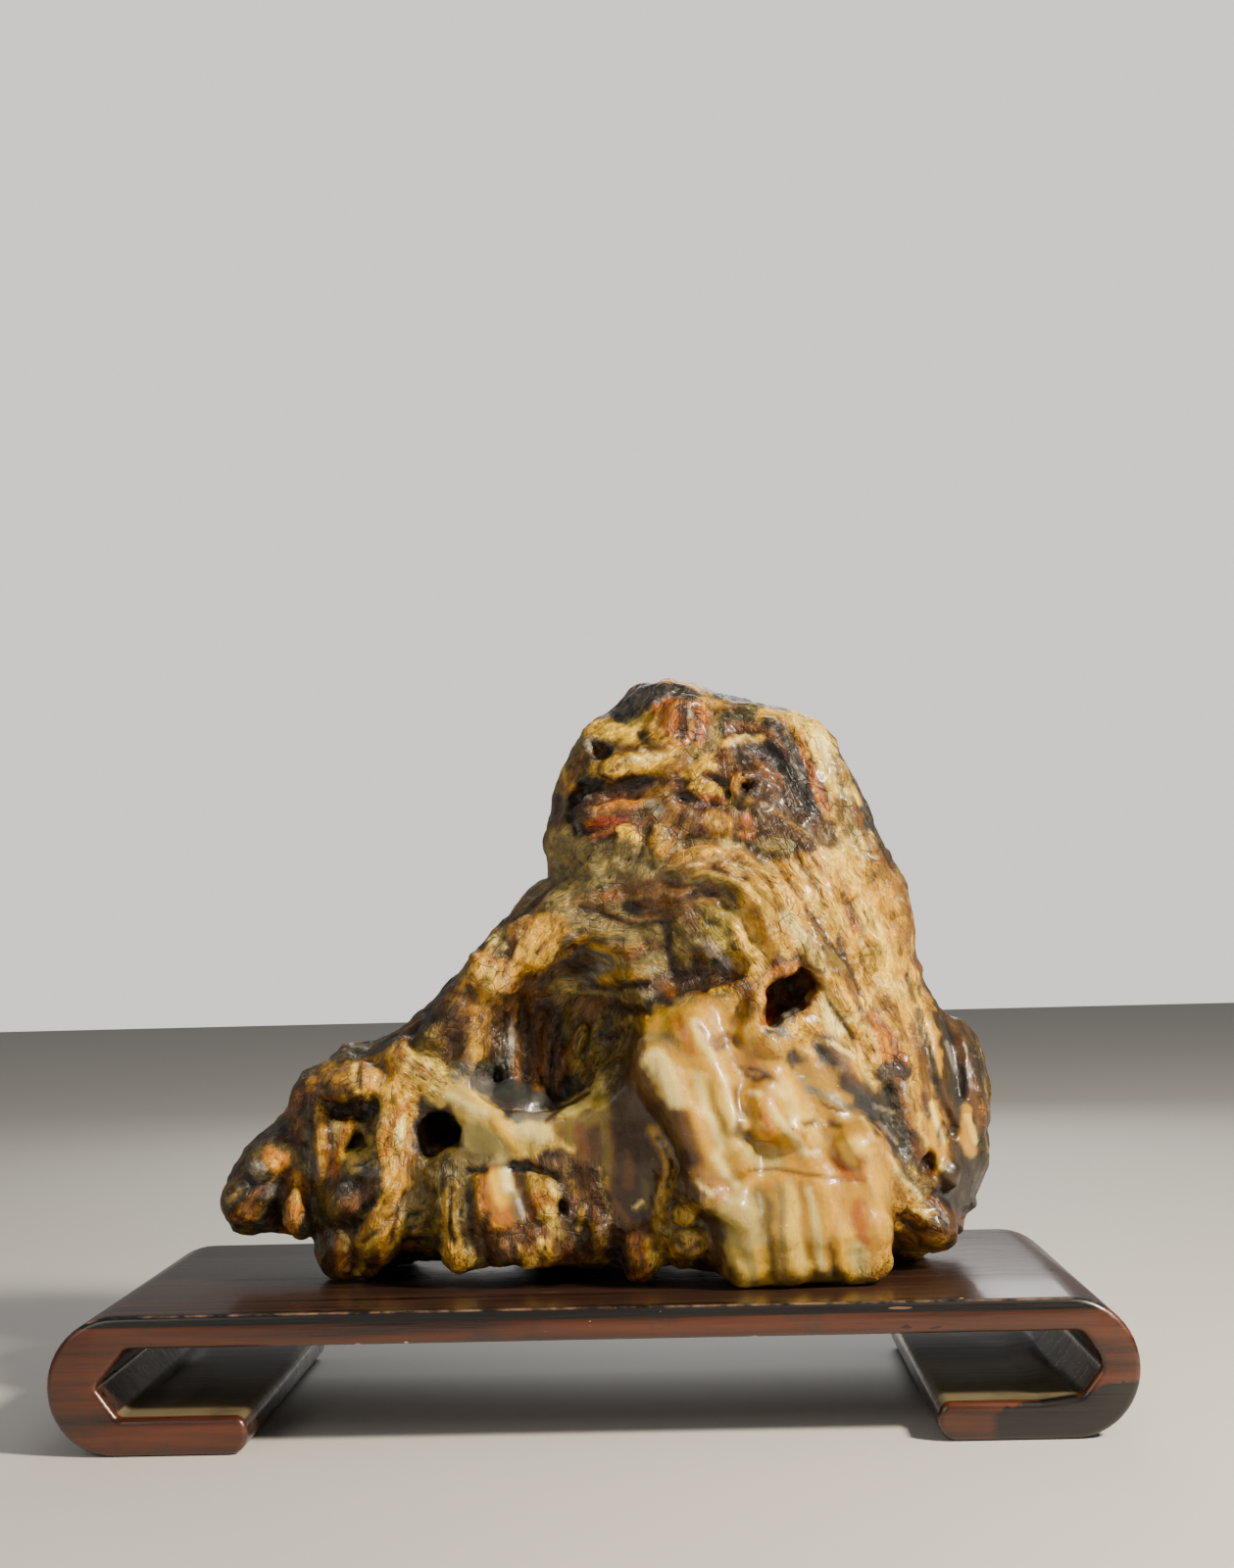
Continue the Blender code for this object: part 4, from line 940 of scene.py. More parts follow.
# %% [markdown]
# The left lobe is dark olive, with a tan brow over an eye-like hollow and a honey-coloured pillow of ribs
# beside it. The dark mark in the arch hole near -49,91 is painted shade.
# %% Marks of the left lobe
LEFT_MARKS = read_marks("""
deep_olive 26 0  -112,82 -104,66
olive 16 0  -84,88 -74,72
deep_olive 5 0  -100,106 -90,113 -80,118 -66,121
umber 5 0  -96,106 -93,98
tan 7.5 0  -84,107 -74,108 -64,111
pink 2.2 0.3  -80,112 -78,104
cream 1 0.4  -77,113 -77,106 -75,102
honey 1.4 0.4  -70,112 -70,106
umber 0.8 -0.4  -75,113 -75,106
brown 1 -0.4  -66,114 -67,107
brown 3.2 0  -90,105 -84,104
dark 2 -0.6  -87,100 -80,99 -75,101
dark 2 -0.6  -83,97 -79,98
honey 1.5 0.8  -88,99 -88,90 -88.5,78
khaki 2.4 0.2  -84,96 -83,90
dark 0.9 -0.7  -85.5,94 -85.5,82
orange 1.7 0.5  -79,95 -81,88 -84,78
honey 1.2 0.6  -77,96 -79,90 -82,83
dark 1 -0.8  -77,97 -76,96
black 2 -1  -74,97 -68,100 -62,106 -58,112
olive 2.8 0  -72,93 -69,90
dark 1.6 -0.6  -77,89 -78,87
black 0.7 -0.7  -80,85 -76,87.5 -71,87
black 0.6 -0.6  -72,92 -71,90
moss 3.6 0.3  -77,83 -73,85
grey 2.4 0  -74,79 -70,77
dark 0.5 -0.4  -79,80 -74,81 -70,84
charcoal 5 0  -80,73 -77,69
black 2.6 -0.5  -80,63 -77,62
deep_olive 3 0  -73,72 -70,74
honey 5 0  -58,112 -62,102 -64,90 -64,80
cream 5 0  -56,113 -50,108
pale 1.4 0.4  -62,95 -63,88
amber 1.2 -0.3  -61,99 -66,92 -67,84
orange 1 0.2  -60,99 -63,97
pink 3.4 0.2  -60,84 -61,76
tan 4.5 0  -63,75 -66,66 -72,58
cream 0.8 0.4  -68,62 -72,56 -74,54
honey 0.8 0.4  -64,70 -66,62 -70,54
umber 0.7 -0.5  -64,66 -69,60 -75,56
umber 0.7 -0.5  -61,72 -64,64 -66,56
black 1.4 -0.6  -74,66 -72,68
brown 3.4 0  -70,50 -67,48
amber 1.8 0.2  -69,49 -67,47
umber 6 0  -84,56 -82,50
amber 2 0.2  -82,57 -81,46
pale 0.7 0.3  -82,59 -80,56 -81,53
amber 2.8 0.3  -96,76 -97,68 -99,60
honey 1.2 0.3  -96,77 -96,70
amber 3.2 0.2  -105,84 -102,82
grey 2.6 0.2  -110,80 -109,74 -105,73
silver 1 0.2  -110,82 -107,80
black 2.6 -0.5  -114,77 -112,75
black 2.6 -0.4  -100,92 -96,90 -94,84
grey 2 0  -92,84 -90,78
brown 2.2 0  -98,98 -95,104
moss 1.4 0  -112,62 -114,60
khaki 5 0  -56,62 -53,56 -58,66
black 2.4 -0.5  -54,79 -52,72 -51,64 -50,54
dark 0.6 -0.5  -60,64 -54,66 -50,63
dark 0.6 -0.5  -60,60 -54,61 -50,58
dark 0.6 -0.5  -62,56 -56,57 -51,54
black 3 0  -62,50 -52,50
dark 6 0  -50,94 -47,88
rust 1.4 0  -52,88 -46,86
grey 0.8 0.3  -53,85 -50,86
""")
print("marks of the left lobe:", len(LEFT_MARKS))


# %% [markdown]
# Under the bridge the wall is brown, with one amber and cream patch, gold strands and a thin black line
# under a ledge, at z 77 to 81, which is painted shadow. The pale spark at 15,68 is a painted highlight,
# and the dark band along the bottom at z 44 is painted shade.
# %% Marks of the lower middle
MIDDLE_MARKS = read_marks("""
olive 12 0  -44,76 -40,54
brown 13 0  -26,64 -10,62
khaki 3.5 0  -47,78 -43,80
gold 1 0.4  -46,74 -47,64 -45,52
gold 0.8 0.4  -43,76 -44,66 -41,54
dark 0.8 -0.6  -44,74 -45,62 -43,52
dark 1.2 -0.6  -39,72 -38,62 -36,54
tan 2.8 0.3  -44,54 -42,50
sand 1.8 0.4  -36,78 -35,72 -33,66
amber 5 0  -32,76 -30,68 -28,62
yellow 3.2 0  -29,77 -28,72
pale 1.6 0.2  -27,79 -26,74
khaki 2.2 0.5  -24,72 -22,66 -21,62
silver 1 0.4  -23,70 -21,65
black 1.6 -1  -24,81 -20,81 -15,79 -11,77
dark 1 -0.7  -39,80 -33,80
gold 3.6 0.3  -17,76 -14,72
amber 2.4 0  -17,71 -15,68
cream 1.8 0.5  -12,75 -10,71
cream 2.4 0.4  -14,66 -11,62 -8,59
black 1.5 -1  -9,68 -9,65
pale 0.6 0.4  -8,65 -8,63
brown 4 0  -28,58 -18,60
cream 1.1 0.5  -16,57 -18,53 -20,49 -22,48
gold 1 0.4  -14,57 -13,52 -15,49
gold 0.7 0.4  -23,56 -21,51
umber 1.2 -0.6  -33,66 -34,58 -32,50
umber 7 0  -4,74 -4,60
gold 0.6 0.3  -6,76 -3,68 -4,60
gold 0.6 0.3  -2,80 -1,72 -3,64
sand 2.2 0.6  1,65 3,60 5,55
gold 0.7 0.4  0,62 3,56
glass_brown 11 0  9,84 10,66
umber 4 0  0,88 0,78
brown 1.8 0  -3,94 -2,82 -3,70
olive 1.6 0  5,95 6,84 5,72
brown 1.6 0  12,96 13,84 12,74
olive 1.4 0  17,92 18,80 17,68
tan 0.4 0.2  5,77 6,73
rust 1.8 0  1,66 4,72
brown 1.4 0.2  8,68 12,62
khaki 0.5 0.3  3,80 4,72 6,66
pale 0.6 0.3  14,67 16,69
amber 3 0.3  14,56 15,50 15,45
honey 1 0.3  17,57 18,51
cream 1.6 0.5  18,52 21,50 22,48
dark 3 -0.3  7,54 10,48
dark 4 0  -30,44 0,44
""")
print("marks of the lower middle:", len(MIDDLE_MARKS))


# %% [markdown]
# The hump is honey and cream wax, brown on its shaded left face; that glass-brown is partly painted
# shade. A hairline crack crosses it above the lobes, which are streaked from top to bottom. The dark
# under the lip, near 33,64 and 35,54, is painted shade. The pale marks near 25,108, 43,79 and 84,51 are
# painted highlights.
# %% Marks of the hump
HUMP_MARKS = read_marks("""
honey 20 0  36,112 46,100 58,84 66,66
cream 6 0  34,104 44,92
tan 10 0  84,84 84,56
glass_brown 7.5 0  12,118 14,104 18,92 23,82
glass_brown 4.5 0  22,98 28,88 32,78 30,72
brown 2 0  24,104 30,96 34,84 38,76
gold 2.4 0  18,126 24,128 29,126
khaki 2 0  20,121 26,121
pale 3.6 0.2  22,114 26,108 29,101
honey 3 0  31,129 40,131 47,130
amber 1.5 -0.2  29,126 32,121 33,117
pale 1 0.2  34,126 36,120 40,114
brown 1.6 -0.3  40,119 44,121 48,119
umber 0.9 -0.3  41,117 44,118
brown 0.7 0  36,124 40,121
pink 4 0  50,112 56,106
umber 0.8 -0.3  50,109 53,107 57,108
umber 0.6 -0.2  48,111 54,110 60,106
honey 2 0  31,108 33,100 38,88
pale 1.1 0.2  35,108 37,98 42,86
sand 1.2 -0.2  39,106 40,98 44,90
pale 1 0.2  43,108 45,98 46,92
brown 1.4 -0.3  47,104 48,98 47,93
dark 2.2 -0.8  47,91 50,89
honey 3.4 0.2  52,101 55,95 56,89
pale 1 0.2  51,103 54,103
orange 1.5 0  55,95 57,90
pale 1.2 0.2  58,98 62,92 68,84
green_cream 3.4 0  52,84 58,82
brown 0.6 -0.4  50,79 58,79.5 66,78 74,76 86,75
pale 1.6 0.3  40,84 43,78 46,74
pink 3.4 0.2  34,78 40,74 46,69
pale 0.8 0.2  34,76 38,72
dark 3.4 -0.5  24,67 34,65 41,61
umber 6 0  36,58 34,50
gold 2 0.5  21,92 24,86 25,80 23,72 21,63
dark 0.8 -0.8  22,90 26,82 24,74
khaki 1.2 0.4  22,61 28,59 34,60
gold 3.2 0.3  28,65 32,65
dark 0.7 -0.8  27,62 33,62 35,66
sand 4 0.3  28,55 32,56
dark 0.8 -0.8  27,58 30,54 34,57
green_cream 7.5 0  49,66 50,50
olive 2.6 -0.2  53,72 55,67 55,62
olive 1 -0.2  56,60 57,48
cream 1.4 0.2  45,54 48,44
yellow 2 0  53,54 54,46
cream 3 0  62,72 63,60 66,48
khaki 1.4 -0.3  60,74 60,60 60,46
sand 1.2 -0.3  66,74 67,62 68,52
pale 1.2 0.2  69,72 71,60 72,48
umber 1 -0.4  75,58 76,46
honey 3 0  74,72 76,60
yellow 3.4 0  80,58 82,48
pale 2.4 0.2  83,54 84,48
cream 4 0  82,86 86,80
orange 2 0  78,82 80,78 84,76
orange 0.9 0  79,79 82,77
orange 1.8 0  85,82 86,77
orange 2.6 0  84,67 84,61
orange 1.4 0  84,58 86,56
honey 1.6 0  90,84 90,70 92,58
cream 3 0  72,90 66,96 62,104
sand 3 0  76,91 84,93
umber 1.1 -0.5  68,93 71,93.5
umber 1.1 -0.5  76,93 79,92
""")
print("marks of the hump:", len(HUMP_MARKS))


# %% [markdown]
# The right side is honey stone with long cream and brown bands. Charcoal
# slabs and a black glossy flank close it at the lower right.
# %% Marks of the right side
RIGHT_MARKS = read_marks("""
honey 30 0  78,150 92,128 94,104
honey 7 0  74,128 82,134
pale 2.6 0.6  65,158 70,150 77,141
cream 4.6 0.4  90,158 94,148 98,138
yellow 2.4 0.3  93,150 97,140
pale 3 0.3  78,130 81,122
cream 3.4 0.3  90,128 94,120
orange 3.2 0  92,124 96,118 100,110
amber 1.6 -0.2  96,116 100,108
olive 3.4 0  78,146 84,140
umber 1 -0.5  72,160 78,150 84,144
umber 0.8 -0.5  82,150 86,140 88,132
brown 1.2 -0.4  84,138 88,128 92,122
umber 0.8 -0.5  76,136 80,128 86,118
orange 2.2 0  86,158 88,154
gold 2.2 0  80,157 83,154
brown 3 -0.2  104,166 107,154 109,142
sand 1.2 0.3  101,168 104,156 106,146
charcoal 2.6 -0.2  103,178 108,168 112,156
honey 3 0  102,140 104,130
rust 1.4 0  104,138 106,130
rust 9 0  68,137 62,130
flame 1.6 0.3  58,133 60,128 58,124
orange 1.4 0.8  55,130 57,136 62,140 68,142
honey 1.8 0.8  55,130 54,123 57,117 62,112
brown 3.2 0  48,138 52,134
black 1.6 -1  49,129 50,127
pale 0.7 0.4  57,122 61,121
black 1.5 -0.3  58,120.5 62,120
grey 3 0  66,126 64,122
yellow 1.1 0.5  66,121 69,125 72,120
yellow 0.9 0.5  68,116 72,112 70,120
sand 2.8 0.2  60,117 63,113
grey 4.4 0  77,115 80,108
slate 2 0  75,114 79,111
charcoal 3 0  67,112 70,106
pale 0.8 0.4  74,118 80,116 86,112
cream 1.2 0.4  88,112 90,106 92,102
sand 9 0  74,100 86,92
grey 1.3 0  70,102 80,98 88,92
charcoal 3.4 0  84,104 92,98 98,88
khaki 0.6 0.3  68,106 78,98 88,90
umber 0.6 -0.4  72,98 82,94
slate 2.4 0  88,99 92,94
charcoal 5.4 -0.4  98,105 101,94 103,84
charcoal 5 -0.3  90,96 96,88 102,79
black 1.4 -0.4  97,101 99,92
silver 0.6 0.3  102,103 104,94
grey 0.6 0.2  92,96 98,94
grey 0.6 0.2  94,90 99,84
charcoal 2.6 -0.3  107,98 108,93
tan 2 0.3  106,106 105,98 107,89
pale 0.7 0.3  110,100 112,90 114,84
umber 2.6 -0.2  105,84 108,80
rust 2 0  106,82 108,78
black 2.6 -1  108,76 110,74
honey 2.6 0.5  113,75 116,71
pale 1 0.3  113,76 115,74
dark 2 -0.5  112,67 116,65
tan 10 0  98,64 106,56
khaki 2 0  102,74 106,68
sand 2.2 0  90,86 93,76 92,66
pale 0.8 0.4  88,92 94,82 101,72 108,64
umber 1 -0.4  97,62 104,56 110,56
cream 1 0.3  100,64 107,60 112,57
umber 0.8 -0.4  101,58 106,52 110,50
charcoal 1.6 -0.2  96,56 98,50
charcoal 1.6 -0.6  107,126 109,116 112,104
brown 1.4 0  105,122 108,110 110,98
black 9 0  119,132 121,116 123,96 123,76 118,58
charcoal 4 0  112,150 112,136
charcoal 2 0.2  116,122 119,108 120,96
grey 0.6 0.2  116,116 119,106
umber 1.6 -0.6  118,124 123,108 124,92
tan 1.8 0.3  122,94 121,86 123,81
cream 1 0.3  122,92 124,84
""")
print("marks of the right side:", len(RIGHT_MARKS))


# %% [markdown]
# Wax has soft colour edges and rough stone has crisp ones, so each region has
# its own softness and strength beside the y of its plane.
# %% All marks
MARKS = [(-35, 0.45, 1.0, HEAD_MARKS), (-35, 0.6, 0.95, BOWL_MARKS), (-25, 0.5, 0.95, LEFT_MARKS),
         (-42, 0.6, 0.95, MIDDLE_MARKS), (-25, 0.5, 0.95, RIGHT_MARKS), (-50, 1.0, 0.85, HUMP_MARKS)]
print("marks:", sum(len(row[3]) for row in MARKS))

# %% [markdown]
# Before anything moves, the net becomes a mesh, because the mesh knows its
# corners' normals. The relief goes on along them: facets and lumps all over,
# grain in streams, and the marks. Waxy places stay smooth.
# %% Relief
def path_distance(seen, path):
    """Distance from each seen point to a path over the front."""
    nearest = np.full(len(seen), 1e9)
    for (ax, az), (bx, bz) in zip(path, path[1:]):
        run = np.array((bx - ax, bz - az), dtype=float)
        away = seen - (ax, az)
        along = np.clip(away @ run / max(run @ run, 1e-6), 0.0, 1.0)
        nearest = np.minimum(nearest, np.hypot(*(away - along[:, None] * run).T))
    return nearest


def patch(seen, x, z, wide, tall, soft=0.35):
    """1 inside an ellipse seen from the front, fading to 0 past its edge."""
    away = np.hypot((seen[:, 0] - x) / wide, (seen[:, 1] - z) / tall)
    return np.clip((1.0 + soft - away) / soft, 0.0, 1.0)


def facing_front(normals):
    """1 where the surface faces the front, 0 where it faces away."""
    return np.clip((0.45 - normals[:, 1]) / 0.5, 0.0, 1.0)


# Smooth waxy places, seen from the front: x, z, half width and half height
POLISHED = [(36, 104, 21, 26), (66, 76, 28, 36), (-32, 95, 18, 12), (4, 92, 12, 10),
            (-28, 72, 6, 10), (12, 80, 7, 16), (116, 98, 7, 36)]


def polished(seen, normals):
    """How smooth and waxy each point is, from 0 to 1."""
    mask = np.zeros(len(seen))
    for x, z, wide, tall in POLISHED:
        mask = np.maximum(mask, patch(seen, x, z, wide, tall))
    return mask * facing_front(normals)


# Heights of the relief in millimetres
BROAD_LUMPS, SMALL_LUMPS = 0.8, 0.3
BIG_PLANES, MIDDLE_PLANES, SMALL_PLANES = 1.1, 0.6, 0.3
FOLD_HEIGHT = 1.1
GRAIN_ON_WAX, GRAIN_ON_ROUGH = 0.08, 0.22
MARK_HEIGHT = 0.9


def add_relief(points, normals):
    """Move the surface along its normals: facets, lumps, grain and marks."""
    seen = seen_from_front(points, -35.0)
    wax = polished(seen, normals)
    rough = 1.0 - 0.85 * wax
    shift = BROAD_LUMPS * noise(points, 16.0, 3) + SMALL_LUMPS * noise(points, 5.0, 8)
    shift += rough * (BIG_PLANES * facets(points, 15.0, 1)
                      + MIDDLE_PLANES * facets(points, 7.0, 2))
    shift += rough * SMALL_PLANES * facets(points, 3.6, 5)
    draped = ramp(seen[:, 0], [(30, 0.4), (70, 1.0)]) * (0.25 + 0.75 * rough)
    folds = 1.0 - 2.0 * np.abs(streams(seen, points[:, 1], 8.0, 60.0, 61, 7))
    shift += FOLD_HEIGHT * draped * folds
    grain = streams(seen, points[:, 1], 2.2, 20.0, 4)
    shift += (GRAIN_ON_WAX + GRAIN_ON_ROUGH * rough) * grain
    front = facing_front(normals)
    wobble = np.column_stack([noise(points, 4.0, 11), noise(points, 4.0, 12)])
    for plane, _, _, marks in MARKS:
        seen = seen_from_front(points, plane) + 0.8 * wobble
        for _, width, height, path in marks:
            if height:
                near = np.clip(1.0 - path_distance(seen, path) / (1.3 * width + 0.6), 0.0, 1.0)
                shift += front * MARK_HEIGHT * height * near * near * (3.0 - 2.0 * near)
    return points + normals * shift[:, None]


def read_vectors(items, name):
    """Read a vector from each corner of a mesh."""
    values = np.zeros(3 * len(items))
    items.foreach_get(name, values)
    return values.reshape(-1, 3)


stone_mesh = bpy.data.meshes.new("stone surface")
stone_mesh.from_pydata((points * MM).tolist(), [], quads.tolist())
normals = read_vectors(stone_mesh.vertex_normals, "vector")
points = add_relief(points, normals)
points[:, 2] = np.maximum(points[:, 2], ROCK_BOTTOM)
stone_mesh.vertices.foreach_set("co", (points * MM).ravel())
stone_mesh.shade_smooth()
stone_mesh.update()
print("stone reaches", points.min(axis=0).round(1), "to", points.max(axis=0).round(1), "mm")

# %% [markdown]
# The grid gives the plain back as many faces as the busy front. A Decimate
# modifier takes the faces that are not needed, and a vertex group tells it to
# take more of them at the back.
# %% Fewer faces at the back
STONE_TRIANGLES = 190000
stone = bpy.data.objects.new("stone surface", stone_mesh)
bpy.context.scene.collection.objects.link(stone)
back_group = stone.vertex_groups.new(name="back")
behind = np.clip((normals[:, 1] + 0.2) / 0.5, 0.0, 1.0)
for level in np.unique(behind.round(1)):
    chosen = np.flatnonzero(behind.round(1) == level)
    back_group.add(chosen.tolist(), float(level), "REPLACE")
thin = stone.modifiers.new("fewer faces", "DECIMATE")
thin.ratio = min(1.0, STONE_TRIANGLES / (2 * len(quads)))
thin.vertex_group = "back"
thin.vertex_group_factor = 1.0
thinned = stone.evaluated_get(bpy.context.evaluated_depsgraph_get())
stone_mesh = bpy.data.meshes.new_from_object(thinned)
stone.modifiers.clear()
stone.vertex_groups.clear()
stone.data = stone_mesh
stone_mesh.shade_smooth()
print("stone triangles:", len(stone_mesh.loop_triangles) or len(stone_mesh.polygons))

# %% [markdown]
# Creases are painted darker as shade, and edges paler as a highlight. Averaging each corner with its
# neighbours a few times gives a smoothed copy of the surface, and the way from the copy to the real
# surface tells creases from edges. Few rounds show fine creases and many rounds show broad ones.
# %% Creases and edges
def smoothed(values, edges, rounds):
    """Average each corner's value with its neighbours' a few times."""
    count = np.bincount(edges.ravel(), minlength=len(values)).astype(float)
    for _ in range(rounds):
        total = values.copy()
        for side in range(values.shape[1]):
            total[:, side] += np.bincount(edges[:, 0], values[edges[:, 1], side], len(values))
            total[:, side] += np.bincount(edges[:, 1], values[edges[:, 0], side], len(values))
        values = total / (count + 1.0)[:, None]
    return values


points = read_vectors(stone_mesh.vertices, "co") / MM
normals = read_vectors(stone_mesh.vertex_normals, "vector")
edges = np.zeros(2 * len(stone_mesh.edges), dtype=int)
stone_mesh.edges.foreach_get("vertices", edges)
edges = edges.reshape(-1, 2)
FINE_ROUNDS = 6
BROAD_ROUNDS = 60
fine_crease = ((smoothed(points, edges, FINE_ROUNDS) - points) * normals).sum(axis=1)
broad_crease = ((smoothed(points, edges, BROAD_ROUNDS) - points) * normals).sum(axis=1)
print("deepest crease:", round(float(broad_crease.max()), 1), "mm")

# %% [markdown]
# Now the colours. A colour read from a picture already holds the lamp's light, so that light is taken out
# first. Then come a broad tan and olive ground and the marks in their order, with edges that wander.
# Creases get painted shade and edges a painted highlight.
# %% Colours without their light
# How much the warm lamp brightens red, green and blue on the stone
LIGHT_ON_STONE = np.array((2.0, 1.8, 1.5))
DARKEST, PALEST = 0.003, 0.9


def from_screen(screen):
    """The light that a screen colour of 0 to 255 stands for, from 0 to 1."""
    value = np.array(screen) / 255.0
    return np.where(value <= 0.04045, value / 12.92, ((value + 0.055) / 1.055) ** 2.4)


def bare_colour(screen):
    """The stone's own colour behind a colour seen on the screen in the light."""
    value = from_screen(screen)
    brightest = value.max()
    grey = value.mean()
    purer = grey + (value - grey) * (1.0 + brightest)
    purer = np.maximum(purer, 0.1 * value)
    return np.clip(purer * (1.05 + 0.6 * brightest) / LIGHT_ON_STONE, DARKEST, PALEST)


def linear(name):
    """A named colour as the shader needs it."""
    return bare_colour(COLOURS[name])


def mix_in(colours, colour, amount):
    """Mix one colour into all points by an amount for each."""
    return colours + (colour - colours) * amount[:, None]


print("tan without the light on it:", linear("tan").round(3))

# %% [markdown]
# Noise makes the edges of the marks wander, so that none follows its path
# exactly, and thin streams of grain break the marks up.
# %% Ground colours and marks
seen = seen_from_front(points, -35.0)
front = facing_front(normals)
wax = polished(seen, normals)
colours = np.tile(linear("sand"), (len(points), 1))
colours = mix_in(colours, linear("olive"), np.clip(0.5 + 0.9 * noise(points, 34.0, 21), 0, 1))
colours = mix_in(colours, linear("umber"), np.clip(0.1 + 1.2 * noise(points, 22.0, 22), 0, 1))
colours = mix_in(colours, linear("charcoal"), np.clip(1.6 * noise(points, 30.0, 23) - 0.3, 0, 1))
wobble = np.column_stack([
    sum(share * noise(points, size, seed + way) for size, share, seed in
        ((6.0, 1.0, 31), (2.8, 0.6, 33), (1.5, 0.35, 35))) for way in (0, 1)])
ways = flow_directions(seen)
grain = streams(seen, points[:, 1], 1.9, 16.0, 41)
thin_grain = streams(seen, points[:, 1], 1.2, 9.0, 42)
long_grain = streams(seen, points[:, 1], 3.4, 46.0, 43, 7)
bite = 1.0 - 0.8 * wax
broken = 1.0 - 0.5 * bite * np.clip(-0.3 - thin_grain, 0.0, 1.0)
for plane, softness, strength, marks in MARKS:
    seen = seen_from_front(points, plane)
    for name, width, _, path in marks:
        wander = min(0.4 * width, 2.4)
        away = path_distance(seen + wander * wobble, path)
        soft = min(softness * width, 2.0) + 0.3
        amount = np.clip((width + 0.5 * soft - away) / soft, 0.0, 1.0)
        colours = mix_in(colours, linear(name), strength * broken * amount * front)
print("mean colour under the grain:", colours.mean(axis=0).round(3))

# %% [markdown]
# The grain comes last: three lengths of streams brighten and darken the
# colours, and the strongest streams become dark, amber and pale lines.
# %% Grain in the colours
bright = 1.0 + bite * (0.36 * long_grain + 0.26 * grain + 0.14 * thin_grain)
colours *= bright[:, None]
dark_line = np.clip((-grain - 0.55) * 3.0, 0.0, 1.0) * bite * 0.6
colours = mix_in(colours, linear("dark"), dark_line)
warm = np.clip((-long_grain - 0.2) * 1.6, 0.0, 1.0) * bite * 0.35
colours = mix_in(colours, linear("amber"), warm)
lively = np.clip(4.0 * colours.mean(axis=1), 0.0, 1.0)
streaked = ramp(seen[:, 0], [(20, 0.3), (70, 1.0)]) * bite * lively
colours = mix_in(colours, linear("cream"), 0.6 * streaked * np.clip(6.0 * long_grain - 2.4, 0.0, 1.0))
colours = mix_in(colours, linear("umber"), 0.7 * streaked * np.clip(-6.0 * long_grain - 2.4, 0.0, 1.0))
pale_line = np.clip((thin_grain - 0.6) * 3.0, 0.0, 1.0) * bite * 0.35 * lively
colours = mix_in(colours, linear("yellow"), pale_line)
# Painted shade: creases are darkened. Painted highlight: edges are paled.
crease = np.clip(0.9 * fine_crease + 0.08 * broad_crease, 0.0, 0.85)
colours = mix_in(colours, linear("dark"), (0.9 - 0.4 * wax) * crease)
edge_highlight = np.clip(-0.9 * fine_crease - 0.12 * broad_crease, 0.0, 1.0)
colours = mix_in(colours, linear("yellow"), 0.25 * edge_highlight * (1.0 - 0.5 * wax) * lively)
colours = np.clip(colours, 0.002, 0.95)
print("mean colour:", colours.mean(axis=0).round(3))

# %% [markdown]
# The mesh carries three things to the material: the colour, how waxy each
# corner is, and the direction of the grain there.
# %% Keep the colours and the gloss on the mesh
def store(mesh, name, values):
    """Keep one value or one colour for each corner of the mesh."""
    if values.ndim == 1:
        layer = mesh.attributes.new(name, "FLOAT", "POINT")
        layer.data.foreach_set("value", values.astype(np.float32))
    else:
        layer = mesh.attributes.new(name, "FLOAT_COLOR", "POINT")
        full = np.column_stack([values, np.ones(len(values))]).astype(np.float32)
        layer.data.foreach_set("color", full.ravel())


store(stone_mesh, "stone_colour", colours)
store(stone_mesh, "wax", np.clip(wax + 0.2 * noise(points, 9.0, 51), 0.0, 1.0))
turns = np.column_stack([ways[:, 0] ** 2 - ways[:, 1] ** 2, 2.0 * ways[:, 0] * ways[:, 1],
                         np.zeros(len(points))])
store(stone_mesh, "grain_way", 0.5 + 0.5 * turns)
print("attributes:", [item.name for item in stone_mesh.attributes])

# %% [markdown]
# A material is a web of many small nodes. A few helpers keep the web short to
# write: one starts a group with named sockets, one adds a node with its
# settings and links, and three give maths, a changed range and a mix.
# %% Node helpers
def new_group(name, inputs, outputs):
    """An empty shader node group with float inputs and outputs."""
    group = bpy.data.node_groups.new(name, "ShaderNodeTree")
    for label, kind, value in inputs:
        socket = group.interface.new_socket(name=label, in_out="INPUT", socket_type=kind)
        if value is not None:
            socket.default_value = value
    for label, kind in outputs:
        group.interface.new_socket(name=label, in_out="OUTPUT", socket_type=kind)
    return group, group.nodes.new("NodeGroupInput"), group.nodes.new("NodeGroupOutput")


def add_node(tree, kind, settings=None, links=None):
    """Add a node, with its settings and what its inputs take."""
    node = tree.nodes.new(kind)
    for name, value in (settings or {}).items():
        setattr(node, name, value)
    for name, value in (links or {}).items():
        if isinstance(value, bpy.types.NodeSocket):
            tree.links.new(value, node.inputs[name])
        else:
            node.inputs[name].default_value = value
    return node


def node_tools(tree):
    """Short ways to add maths, a changed range and a mix of colours."""
    def maths(operation, first, second, third=0.0):
        return add_node(tree, "ShaderNodeMath", {"operation": operation},
                        {0: first, 1: second, 2: third}).outputs[0]

    def scaled(value, low, high, new_low=0.0, new_high=1.0):
        return add_node(tree, "ShaderNodeMapRange", None,
                        {"Value": value, "From Min": low, "From Max": high,
                         "To Min": new_low, "To Max": new_high}).outputs[0]

    def over(amount, under, top):
        return add_node(tree, "ShaderNodeMix", {"data_type": "RGBA"},
                        {0: amount, 6: under, 7: top}).outputs[2]

    return maths, scaled, over


print("node helpers are ready")

